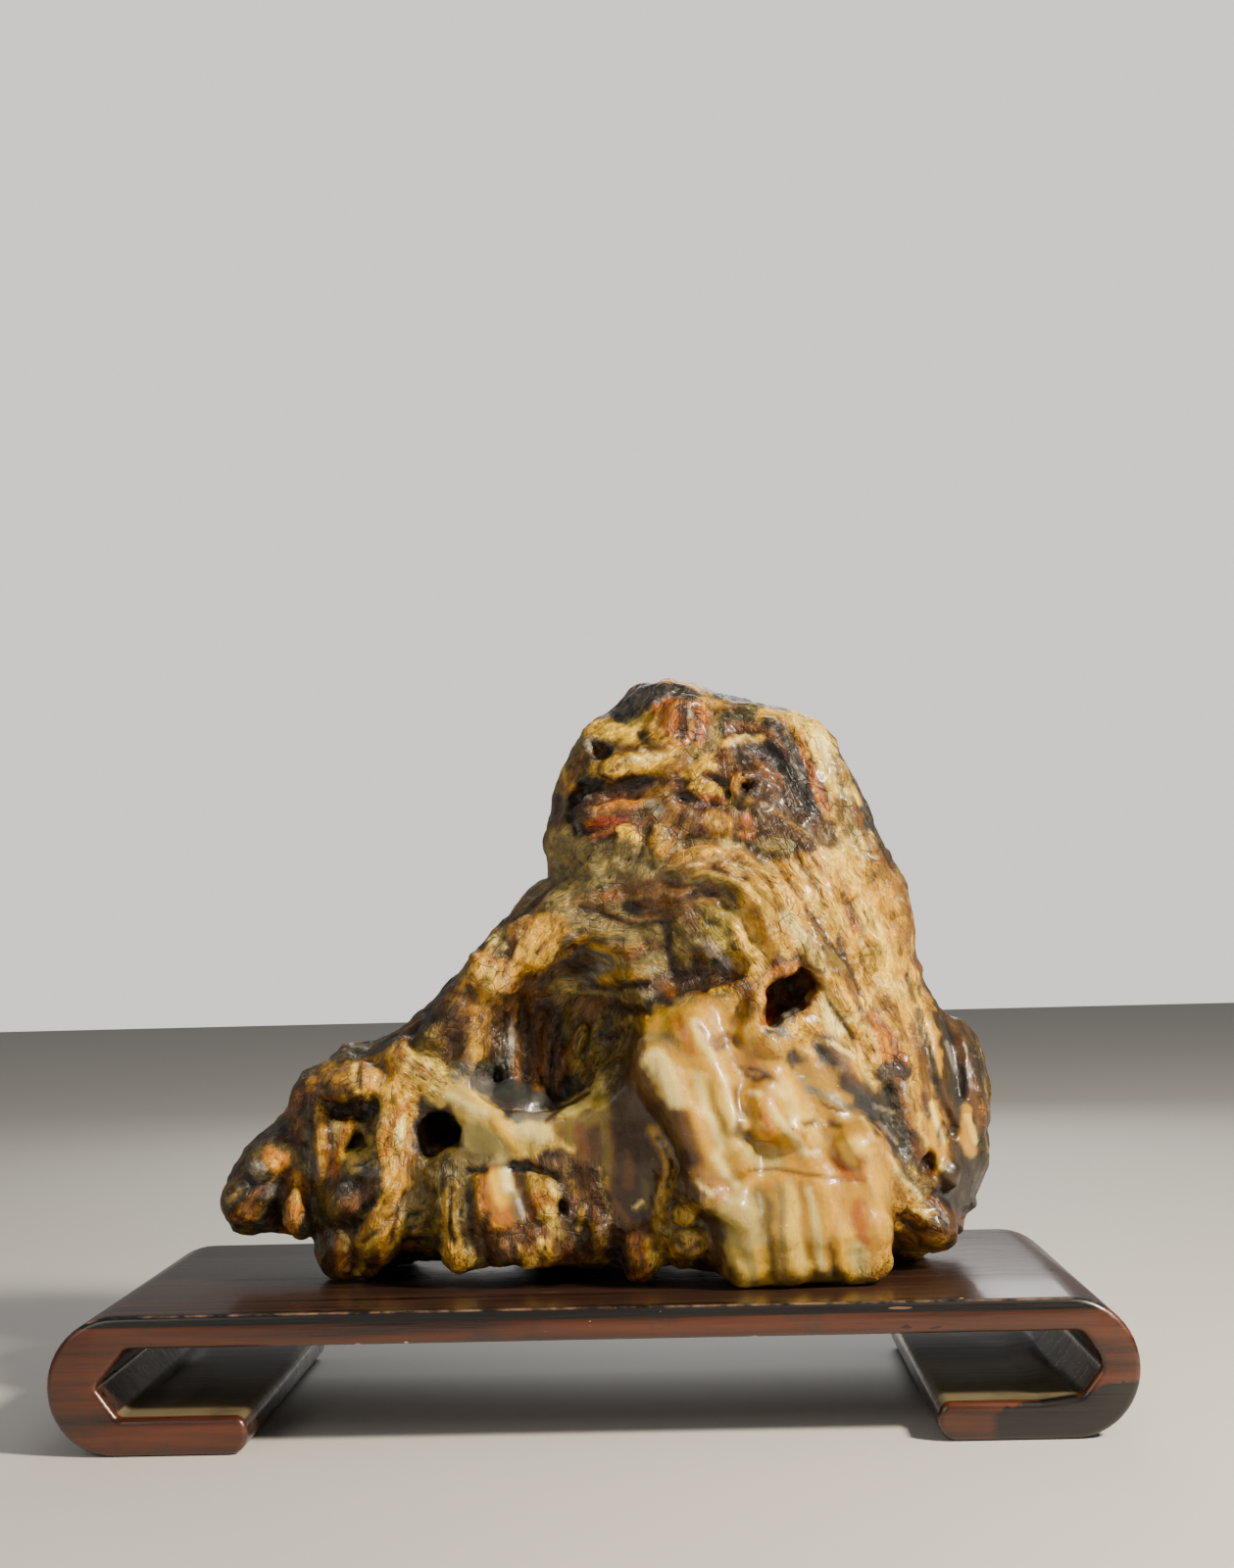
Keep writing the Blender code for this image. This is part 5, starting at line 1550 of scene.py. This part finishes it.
# %% [markdown]
# Both finishes carry small pale specks: chips and painted glints in the stone, dust and nicks on the
# lacquer. A node group makes them once, from cells of which few hold a dot, and each material sets its
# own size and amount.
# %% A group for specks
LARGEST_SPECK = 0.32  # of a cell


def speck_group():
    """Small pale specks: a mask from 0 to 1."""
    group, given, result = new_group(
        "specks",
        [("Vector", "NodeSocketVector", None), ("Size", "NodeSocketFloat", 0.002),
         ("Amount", "NodeSocketFloat", 0.1), ("Stretch", "NodeSocketVector", (1.0, 1.0, 1.0))],
        [("Mask", "NodeSocketFloat")])
    stretched = add_node(group, "ShaderNodeVectorMath", {"operation": "MULTIPLY"},
                         {0: given.outputs["Vector"], 1: given.outputs["Stretch"]})
    maths, _, _ = node_tools(group)
    scale = maths("DIVIDE", 1.0, given.outputs["Size"])
    cells = add_node(group, "ShaderNodeTexVoronoi", {"feature": "F1"},
                     {"Vector": stretched.outputs[0], "Scale": scale, "Randomness": 1.0})
    chance = add_node(group, "ShaderNodeSeparateColor", None, {"Color": cells.outputs["Color"]})
    rare = maths("LESS_THAN", chance.outputs["Red"], given.outputs["Amount"])
    reach = maths("MULTIPLY", chance.outputs["Green"], LARGEST_SPECK)
    near = maths("LESS_THAN", cells.outputs["Distance"], reach)
    group.links.new(maths("MULTIPLY", rare, near), result.inputs["Mask"])
    return group


specks = speck_group()
print("group:", specks.name, "with", len(specks.nodes), "nodes")

# %% [markdown]
# Grain is noise that is stretched along one direction. The wood needs it along
# the board. The stone needs it bent, so a second group holds six straight
# grains, 30 degrees apart, and lets the mesh's own direction choose between
# them. The direction comes as the cosine and sine of twice the angle, because
# grain has no front and back.
# %% Groups for grain
def straight_grain_group():
    """Noise drawn out along one direction in the X-Z plane."""
    group, given, result = new_group(
        "straight grain",
        [("Vector", "NodeSocketVector", None), ("Angle", "NodeSocketFloat", 0.0),
         ("Length", "NodeSocketFloat", 0.006), ("Width", "NodeSocketFloat", 0.0006),
         ("Detail", "NodeSocketFloat", 2.0)],
        [("Fac", "NodeSocketFloat")])
    turned = add_node(group, "ShaderNodeVectorRotate", {"rotation_type": "Y_AXIS"},
                      {"Vector": given.outputs["Vector"], "Angle": given.outputs["Angle"]})
    sizes = add_node(group, "ShaderNodeCombineXYZ", None,
                     {"X": given.outputs["Length"], "Y": given.outputs["Width"],
                      "Z": given.outputs["Width"]})
    drawn = add_node(group, "ShaderNodeVectorMath", {"operation": "DIVIDE"},
                     {0: turned.outputs[0], 1: sizes.outputs[0]})
    mottle = add_node(group, "ShaderNodeTexNoise", None,
                      {"Vector": drawn.outputs[0], "Scale": 1.0, "Detail": given.outputs["Detail"],
                       "Roughness": 0.6})
    group.links.new(mottle.outputs["Fac"], result.inputs["Fac"])
    return group


def bent_grain_group(straight):
    """Six straight grains, mixed by the local direction."""
    group, given, result = new_group(
        "bent grain",
        [("Vector", "NodeSocketVector", None), ("Way", "NodeSocketVector", None),
         ("Length", "NodeSocketFloat", 0.006), ("Width", "NodeSocketFloat", 0.0006)],
        [("Fac", "NodeSocketFloat")])
    way = add_node(group, "ShaderNodeVectorMath", {"operation": "MULTIPLY_ADD"},
                   {0: given.outputs["Way"], 1: (2.0, 2.0, 2.0), 2: (-1.0, -1.0, -1.0)})
    maths, _, _ = node_tools(group)
    total = 0.0
    for number in range(6):
        angle = math.radians(30.0 * number)
        one = add_node(group, "ShaderNodeGroup", {"node_tree": straight},
                       {"Vector": given.outputs["Vector"], "Angle": angle, "Detail": 2.0,
                        "Length": given.outputs["Length"], "Width": given.outputs["Width"]})
        near = add_node(group, "ShaderNodeVectorMath", {"operation": "DOT_PRODUCT"},
                        {0: way.outputs[0], 1: (math.cos(2 * angle), math.sin(2 * angle), 0.0)})
        weight = maths("POWER", maths("MAXIMUM", near.outputs["Value"], 0.0), 4.0)
        total = maths("MULTIPLY_ADD", maths("SUBTRACT", one.outputs["Fac"], 0.5), weight, total)
    group.links.new(total, result.inputs["Fac"])
    return group


straight_grain = straight_grain_group()
bent_grain = bent_grain_group(straight_grain)
print("groups:", straight_grain.name, "and", bent_grain.name)

# %% [markdown]
# A chipped surface is a patchwork of small planes, each tilted its own way.
# Voronoi cells give the patches, their random colour gives the tilt, and the
# way from the cell's middle times that tilt is the height for a Bump node.
# %% A group for chips
def chip_group():
    """Small tilted planes: a height, and a tone for each plane."""
    group, given, result = new_group(
        "tilted chips",
        [("Vector", "NodeSocketVector", None), ("Size", "NodeSocketFloat", 0.003)],
        [("Height", "NodeSocketFloat"), ("Tone", "NodeSocketFloat")])
    maths, _, _ = node_tools(group)
    scale = maths("DIVIDE", 1.0, given.outputs["Size"])
    cells = add_node(group, "ShaderNodeTexVoronoi", {"feature": "F1"},
                     {"Vector": given.outputs["Vector"], "Scale": scale})
    away = add_node(group, "ShaderNodeVectorMath", {"operation": "SUBTRACT"},
                    {0: given.outputs["Vector"], 1: cells.outputs["Position"]})
    tilt = add_node(group, "ShaderNodeVectorMath", {"operation": "SUBTRACT"},
                    {0: cells.outputs["Color"], 1: (0.5, 0.5, 0.5)})
    height = add_node(group, "ShaderNodeVectorMath", {"operation": "DOT_PRODUCT"},
                      {0: away.outputs[0], 1: tilt.outputs[0]})
    tone = add_node(group, "ShaderNodeSeparateColor", None, {"Color": cells.outputs["Color"]})
    group.links.new(height.outputs["Value"], result.inputs["Height"])
    group.links.new(tone.outputs["Green"], result.inputs["Tone"])
    return group


chips = chip_group()
print("group:", chips.name)

# %% [markdown]
# The stone's material reads the painted colour and adds what is finer than
# the mesh: thin grain, chips, cloudy tone and hair-thin cracks. Waxy places
# show little of these. A little light passes under the surface, which gives
# the cream parts their soft look.
# %% Stone material
def stone_material():
    """Waxy stone from the painted colours."""
    material = bpy.data.materials.new("wax stone")
    material.use_nodes = True
    tree = material.node_tree
    shader = tree.nodes["Principled BSDF"]
    maths, scaled, over = node_tools(tree)
    place = add_node(tree, "ShaderNodeTexCoord").outputs["Object"]
    painted = add_node(tree, "ShaderNodeAttribute", {"attribute_name": "stone_colour"})
    way = add_node(tree, "ShaderNodeAttribute", {"attribute_name": "grain_way"}).outputs["Color"]
    wax_mask = add_node(tree, "ShaderNodeAttribute", {"attribute_name": "wax"}).outputs["Fac"]
    rough = scaled(wax_mask, 0.0, 1.0, 1.0, 0.12)
    bend = add_node(tree, "ShaderNodeTexNoise", None, {"Vector": place, "Scale": 110.0, "Detail": 1.0})
    bent = add_node(tree, "ShaderNodeVectorMath", {"operation": "MULTIPLY_ADD"},
                    {0: bend.outputs["Color"], 1: (0.004, 0.004, 0.004), 2: place}).outputs[0]
    grain = add_node(tree, "ShaderNodeGroup", {"node_tree": bent_grain},
                     {"Vector": bent, "Way": way, "Length": 0.016, "Width": 0.0010}).outputs["Fac"]
    hair = add_node(tree, "ShaderNodeGroup", {"node_tree": bent_grain},
                    {"Vector": bent, "Way": way, "Length": 0.010, "Width": 0.0004}).outputs["Fac"]
    big_chip = add_node(tree, "ShaderNodeGroup", {"node_tree": chips}, {"Vector": bent, "Size": 0.0042})
    small_chip = add_node(tree, "ShaderNodeGroup", {"node_tree": chips}, {"Vector": bent, "Size": 0.0017})
    clouds = add_node(tree, "ShaderNodeTexNoise", None,
                      {"Vector": place, "Scale": 300.0, "Detail": 5.0, "Roughness": 0.65})
    tone = maths("MULTIPLY_ADD", grain, 1.3, 1.0)
    tone = maths("MULTIPLY_ADD", hair, 0.6, tone)
    tone = maths("ADD", tone, scaled(big_chip.outputs["Tone"], 0.0, 1.0, -0.12, 0.12))
    tone = maths("ADD", tone, scaled(small_chip.outputs["Tone"], 0.0, 1.0, -0.1, 0.1))
    tone = maths("ADD", tone, scaled(clouds.outputs["Fac"], 0.3, 0.7, -0.22, 0.22))
    tone = maths("MULTIPLY_ADD", maths("SUBTRACT", tone, 1.0), rough, 1.0)
    tone = maths("MAXIMUM", tone, 0.12)
    colour = add_node(tree, "ShaderNodeVectorMath", {"operation": "SCALE"},
                      {0: painted.outputs["Color"], "Scale": tone}).outputs[0]
    dark_hair = maths("MULTIPLY", scaled(grain, -0.11, -0.18, 0.0, 0.8), rough)
    colour = over(dark_hair, colour, (0.022, 0.011, 0.004, 1.0))
    line = scaled(maths("ABSOLUTE", grain, 0.0), 0.0, 0.014, 0.6, 0.0)
    line_place = add_node(tree, "ShaderNodeTexNoise", None, {"Vector": place, "Scale": 90.0})
    line = maths("MULTIPLY", line, scaled(line_place.outputs["Fac"], 0.42, 0.56, 0.0, 1.0))
    line = maths("MULTIPLY", line, rough)
    colour = over(line, colour, (0.03, 0.014, 0.004, 1.0))
    pale_hair = maths("MULTIPLY", scaled(hair, 0.1, 0.18, 0.0, 0.6), rough)
    paler = add_node(tree, "ShaderNodeVectorMath", {"operation": "MULTIPLY_ADD"},
                     {0: colour, 1: (1.7, 1.7, 1.7), 2: (0.012, 0.008, 0.003)}).outputs[0]
    colour = over(pale_hair, colour, paler)
    cracks = add_node(tree, "ShaderNodeTexVoronoi", {"feature": "DISTANCE_TO_EDGE"},
                      {"Vector": bent, "Scale": 210.0})
    crack = scaled(cracks.outputs["Distance"], 0.0, 0.05, 0.7, 0.0)
    crack_place = add_node(tree, "ShaderNodeTexNoise", None, {"Vector": place, "Scale": 60.0})
    crack = maths("MULTIPLY", crack, scaled(crack_place.outputs["Fac"], 0.48, 0.6, 0.0, 1.0))
    crack = maths("MULTIPLY", crack, rough)
    colour = over(crack, colour, (0.02, 0.01, 0.004, 1.0))
    # Painted glints: rare specks brightened as highlights on the stone.
    painted_glints = add_node(tree, "ShaderNodeGroup", {"node_tree": specks},
                      {"Vector": bent, "Size": 0.0016, "Amount": 0.02})
    painted_glint_colour = add_node(tree, "ShaderNodeVectorMath", {"operation": "MULTIPLY_ADD"},
                            {0: colour, 1: (2.0, 2.0, 2.0), 2: (0.05, 0.04, 0.02)}).outputs[0]
    colour = over(painted_glints.outputs["Mask"], colour, painted_glint_colour)
    tree.links.new(colour, shader.inputs["Base Color"])
    gloss = maths("MULTIPLY_ADD", clouds.outputs["Fac"], 0.22, scaled(wax_mask, 0.0, 1.0, 0.34, 0.3))
    tree.links.new(gloss, shader.inputs["Roughness"])
    tree.links.new(scaled(wax_mask, 0.0, 1.0, 0.14, 0.22), shader.inputs["Coat Weight"])
    shader.inputs["Coat Roughness"].default_value = 0.14
    shader.inputs["Subsurface Weight"].default_value = 0.12
    shader.inputs["Subsurface Radius"].default_value = (1.0, 0.42, 0.14)
    shader.inputs["Subsurface Scale"].default_value = 0.004
    height = maths("MULTIPLY", big_chip.outputs["Height"], 0.55)
    height = maths("MULTIPLY_ADD", small_chip.outputs["Height"], 0.6, height)
    height = maths("MULTIPLY_ADD", grain, 0.0008, height)
    height = maths("MULTIPLY_ADD", hair, 0.0002, height)
    height = maths("MULTIPLY_ADD", crack, -0.0003, height)
    height = maths("MULTIPLY_ADD", line, -0.0002, height)
    height = maths("MULTIPLY", height, rough)
    height = maths("MULTIPLY_ADD", clouds.outputs["Fac"], 0.00012, height)
    bump = add_node(tree, "ShaderNodeBump", None, {"Strength": 1.0, "Distance": 1.0, "Height": height})
    tree.links.new(bump.outputs["Normal"], shader.inputs["Normal"])
    return material


stone_mesh.materials.clear()
stone_mesh.materials.append(stone_material())
stone.name = "stone"
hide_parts("rock")
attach(stone, "root")
print("stone faces:", len(stone_mesh.polygons))

# %% [markdown]
# The stand is one plank whose ends curl under. Such a form is an outline
# drawn from the front and pushed back through the plank's depth, so Geometry
# Nodes can make it: a line of corners, each with its own rounding, becomes a
# filled curve, and Extrude gives it depth. A Bevel then rounds the rims.
# %% Stand outline
STAND_LENGTH = 330.0
STAND_DEPTH = 150.0
PLANK_THICKNESS = 10.0
FOOT_THICKNESS = 11.5
FOOT_TIP = 104.0
EDGE_ROUND = 3.0


def stand_corners():
    """The corners of the stand's outline: x, z and rounding."""
    end = 0.5 * STAND_LENGTH
    roll = 0.5 * STAND_HEIGHT
    under = STAND_HEIGHT - PLANK_THICKNESS
    left = [(-end, STAND_HEIGHT, roll), (-end, 0, roll), (-FOOT_TIP, 0, 5.5),
            (-FOOT_TIP, FOOT_THICKNESS, 4.0), (-143, FOOT_THICKNESS, 3.0), (-150, 21, 2.0),
            (-141, under, 3.0)]
    right = [(148, under, 4.0), (154, 22, 5.0), (147, 13, 4.0), (135, FOOT_THICKNESS, 6.0),
             (FOOT_TIP, FOOT_THICKNESS, 4.0), (FOOT_TIP, 0, 5.5), (end, 0, roll),
             (end, STAND_HEIGHT, roll)]
    return left + right


def corner_curve(name, corners):
    """A closed line through the corners, with its rounding as the radius."""
    curve = bpy.data.curves.new(name, "CURVE")
    curve.dimensions = "3D"
    line = curve.splines.new("POLY")
    line.points.add(len(corners) - 1)
    for point, (x, z, rounding) in zip(line.points, corners):
        point.co = (x * MM, z * MM, 0.0, 1.0)
        point.radius = rounding * MM
    line.use_cyclic_u = True
    return bpy.data.objects.new(name, curve)


print("stand corners:", len(stand_corners()))

# %% [markdown]
# The tree takes the outline, the depth, the steps of each rounding and the
# material. The filled outline is the front face. Pushed back it gives the
# sides and the other face, and a turned copy of it closes the front.
# %% Stand tree
def board_tree():
    """Geometry Nodes: rounded outline, filled and pushed back."""
    tree = bpy.data.node_groups.new("curled board", "GeometryNodeTree")
    face = tree.interface
    face.new_socket(name="Outline", in_out="INPUT", socket_type="NodeSocketGeometry")
    face.new_socket(name="Depth", in_out="INPUT", socket_type="NodeSocketFloat")
    face.new_socket(name="Round steps", in_out="INPUT", socket_type="NodeSocketInt")
    face.new_socket(name="Material", in_out="INPUT", socket_type="NodeSocketMaterial")
    face.new_socket(name="Board", in_out="OUTPUT", socket_type="NodeSocketGeometry")
    given = tree.nodes.new("NodeGroupInput")
    radius = add_node(tree, "GeometryNodeInputRadius")
    rounded = add_node(tree, "GeometryNodeFilletCurve", {"mode": "POLY"},
                       {"Curve": given.outputs["Outline"], "Radius": radius.outputs[0],
                        "Count": given.outputs["Round steps"], "Limit Radius": True})
    filled = add_node(tree, "GeometryNodeFillCurve", {"mode": "NGONS"}, {"Curve": rounded.outputs[0]})
    offset = add_node(tree, "ShaderNodeCombineXYZ", None, {"Z": given.outputs["Depth"]})
    pushed = add_node(tree, "GeometryNodeExtrudeMesh", {"mode": "FACES"},
                      {"Mesh": filled.outputs[0], "Offset": offset.outputs[0],
                       "Offset Scale": 1.0, "Individual": False})
    back_face = add_node(tree, "GeometryNodeFlipFaces", None, {"Mesh": filled.outputs[0]})
    joined = add_node(tree, "GeometryNodeJoinGeometry")
    tree.links.new(pushed.outputs["Mesh"], joined.inputs[0])
    tree.links.new(back_face.outputs[0], joined.inputs[0])
    closed = add_node(tree, "GeometryNodeMergeByDistance", None,
                      {"Geometry": joined.outputs[0], "Distance": 0.00001})
    real = add_node(tree, "GeometryNodeRealizeInstances", None, {"Geometry": closed.outputs[0]})
    finished = add_node(tree, "GeometryNodeSetMaterial", None,
                        {"Geometry": real.outputs[0], "Material": given.outputs["Material"]})
    result = tree.nodes.new("NodeGroupOutput")
    tree.links.new(finished.outputs[0], result.inputs["Board"])
    return tree


board = board_tree()
print("tree:", board.name, "with", len(board.nodes), "nodes")

# %% [markdown]
# The stand was lacquered almost black over a warm red-brown wood. Years of handling took the lacquer off
# its rims and one end, and left dust in the curl. The pale khaki on the feet's tops is dust and also
# painted light where light falls on them, and the pale line on the top arris is wear and a painted
# highlight. All of these are bands that follow the stand's own directions, so the material finds them
# from the place on the stand: how near the front rim, how high, and how far along.
# %% Wood material
def screen_colour(red, green, blue):
    """A colour given as on a screen, for a shader socket."""
    return (*from_screen((red, green, blue)).tolist(), 1.0)


def wood_material():
    """Dark lacquer over red-brown wood, worn at its rims."""
    material = bpy.data.materials.new("worn lacquer")
    material.use_nodes = True
    tree = material.node_tree
    shader = tree.nodes["Principled BSDF"]
    maths, scaled, over = node_tools(tree)
    place = add_node(tree, "ShaderNodeTexCoord").outputs["Object"]
    along, depth, high = add_node(tree, "ShaderNodeSeparateXYZ", None, {"Vector": place}).outputs

    def times(first, second):
        return maths("MULTIPLY", first, second)

    def band(value, low, high_value, soft):
        rise = scaled(value, low - soft, low)
        fall = scaled(value, high_value, high_value + soft, 1.0, 0.0)
        return times(rise, fall)

    def streak(length, width, detail):
        return add_node(tree, "ShaderNodeGroup", {"node_tree": straight_grain},
                        {"Vector": place, "Angle": 0.0, "Length": length, "Width": width,
                         "Detail": detail}).outputs["Fac"]

    def nicks(size, amount, stretch):
        return add_node(tree, "ShaderNodeGroup", {"node_tree": specks},
                        {"Vector": place, "Size": size, "Amount": amount,
                         "Stretch": stretch}).outputs["Mask"]

    def ragged(scale, low, high_value):
        mottle = add_node(tree, "ShaderNodeTexNoise", None,
                          {"Vector": place, "Scale": scale, "Detail": 5.0, "Roughness": 0.65})
        return scaled(mottle.outputs["Fac"], low, high_value)

    grain = scaled(streak(0.09, 0.004, 7.0), 0.32, 0.68)
    pore = streak(0.016, 0.0008, 3.0)
    lacquer = over(grain, screen_colour(20, 12, 9), screen_colour(62, 40, 30))
    bare_wood = over(grain, screen_colour(30, 12, 6), screen_colour(88, 42, 18))
    lacquer_black = screen_colour(14, 11, 11)
    front_rim = band(depth, -0.0765, -0.0728, 0.0012)
    below_arris = band(high, -0.01, 0.0385, 0.001)
    bare = times(times(front_rim, below_arris), ragged(45.0, 0.34, 0.46))
    colour = over(bare, lacquer, bare_wood)
    near_front = band(depth, -0.0765, -0.0718, 0.001)
    arris = times(near_front, band(high, 0.0388, 0.043, 0.0006))
    colour = over(arris, colour, lacquer_black)
    slope = maths("MULTIPLY_ADD", along, -0.25, high)
    wavy = maths("MULTIPLY_ADD", ragged(70.0, 0.3, 0.7), 0.006, slope)
    right_end = band(along, 0.122, 0.2, 0.003)
    patch_low = times(band(wavy, -0.2, -0.0195, 0.0006), right_end)
    colour = over(patch_low, colour, lacquer_black)
    # Dust on the feet's tops, painted pale khaki also as the light that falls there.
    behind_rim = band(depth, -0.071, 0.071, 0.002)
    foot_top = times(band(high, 0.0105, 0.0125, 0.0006), behind_rim)
    inside_curl = band(along, -0.150, 0.150, 0.002)
    dust_and_lit_top = times(times(foot_top, inside_curl), ragged(30.0, 0.2, 0.5))
    colour = over(dust_and_lit_top, colour, screen_colour(100, 90, 62))
    # A broken pale line on the top arris: wear, and a painted highlight.
    on_corner = band(depth, -0.0742, -0.0726, 0.0004)
    worn_highlight_line = times(on_corner, band(high, 0.0402, 0.0416, 0.0004))
    worn_highlight_line = times(worn_highlight_line, ragged(160.0, 0.42, 0.66))
    colour = over(worn_highlight_line, colour, screen_colour(138, 108, 88))
    front_part = band(depth, -0.0765, -0.068, 0.003)
    near_top_edge = times(front_part, band(high, 0.030, 0.043, 0.002))
    white_nicks = times(near_top_edge, nicks(0.0042, 0.10, (0.6, 1.0, 1.0)))
    colour = over(white_nicks, colour, screen_colour(214, 190, 160))
    scratches = nicks(0.0016, 0.035, (0.12, 1.0, 1.0))
    colour = over(scratches, colour, screen_colour(112, 84, 66))
    flecks = times(bare, nicks(0.003, 0.12, (0.35, 1.0, 1.0)))
    colour = over(flecks, colour, screen_colour(22, 10, 6))
    tree.links.new(colour, shader.inputs["Base Color"])
    dull = maths("MULTIPLY_ADD", dust_and_lit_top, 0.4, scaled(grain, 0.0, 1.0, 0.24, 0.42))
    tree.links.new(dull, shader.inputs["Roughness"])
    shader.inputs["Coat Roughness"].default_value = 0.12
    shader.inputs["Coat Weight"].default_value = 0.35
    bump = add_node(tree, "ShaderNodeBump", None,
                    {"Strength": 0.3, "Distance": 0.0004,
                     "Height": maths("MULTIPLY_ADD", pore, 0.6, grain)})
    tree.links.new(bump.outputs["Normal"], shader.inputs["Normal"])
    return material


wood = wood_material()
print("wood nodes:", len(wood.node_tree.nodes))

# %% [markdown]
# The tree runs once and its result is kept as a plain mesh. The outline was
# drawn lying flat, so the mesh is turned upright and moved to the middle.
# %% Build the stand
def set_input(modifier, name, value):
    """Set a Geometry Nodes input by its socket's identifier."""
    for item in modifier.node_group.interface.items_tree:
        if item.item_type == "SOCKET" and item.in_out == "INPUT" and item.name == name:
            modifier[item.identifier] = value


outline = corner_curve("stand outline", stand_corners())
bpy.context.scene.collection.objects.link(outline)
maker = outline.modifiers.new("curled board", "NODES")
maker.node_group = board
set_input(maker, "Depth", STAND_DEPTH * MM)
set_input(maker, "Round steps", 12)
set_input(maker, "Material", wood)
board_mesh = bpy.data.meshes.new_from_object(
    outline.evaluated_get(bpy.context.evaluated_depsgraph_get()))
outline.modifiers.clear()
bpy.data.objects.remove(outline)
upright = Matrix.Translation((0.0, 0.5 * STAND_DEPTH * MM, 0.0)) @ Matrix.Rotation(
    math.radians(90.0), 4, "X")
board_mesh.transform(upright)
print("board:", len(board_mesh.polygons), "faces")

# %% [markdown]
# A joiner takes the sharp rims off with sandpaper. A Bevel does the same, and
# only where two faces meet at a steep angle.
# %% Round the rims
curled_board = bpy.data.objects.new("curled_board", board_mesh)
bpy.context.scene.collection.objects.link(curled_board)
rims = curled_board.modifiers.new("round rims", "BEVEL")
rims.width = EDGE_ROUND * MM
rims.segments = 4
rims.limit_method = "ANGLE"
rims.angle_limit = math.radians(60.0)
rims.use_clamp_overlap = True
rounded_mesh = bpy.data.meshes.new_from_object(
    curled_board.evaluated_get(bpy.context.evaluated_depsgraph_get()))
curled_board.modifiers.clear()
curled_board.data = rounded_mesh
rounded_mesh.shade_smooth()
rounded_mesh.set_sharp_from_angle(angle=math.radians(40.0))
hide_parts("stand")
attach(curled_board, "root")
print("stand:", len(rounded_mesh.polygons), "faces")
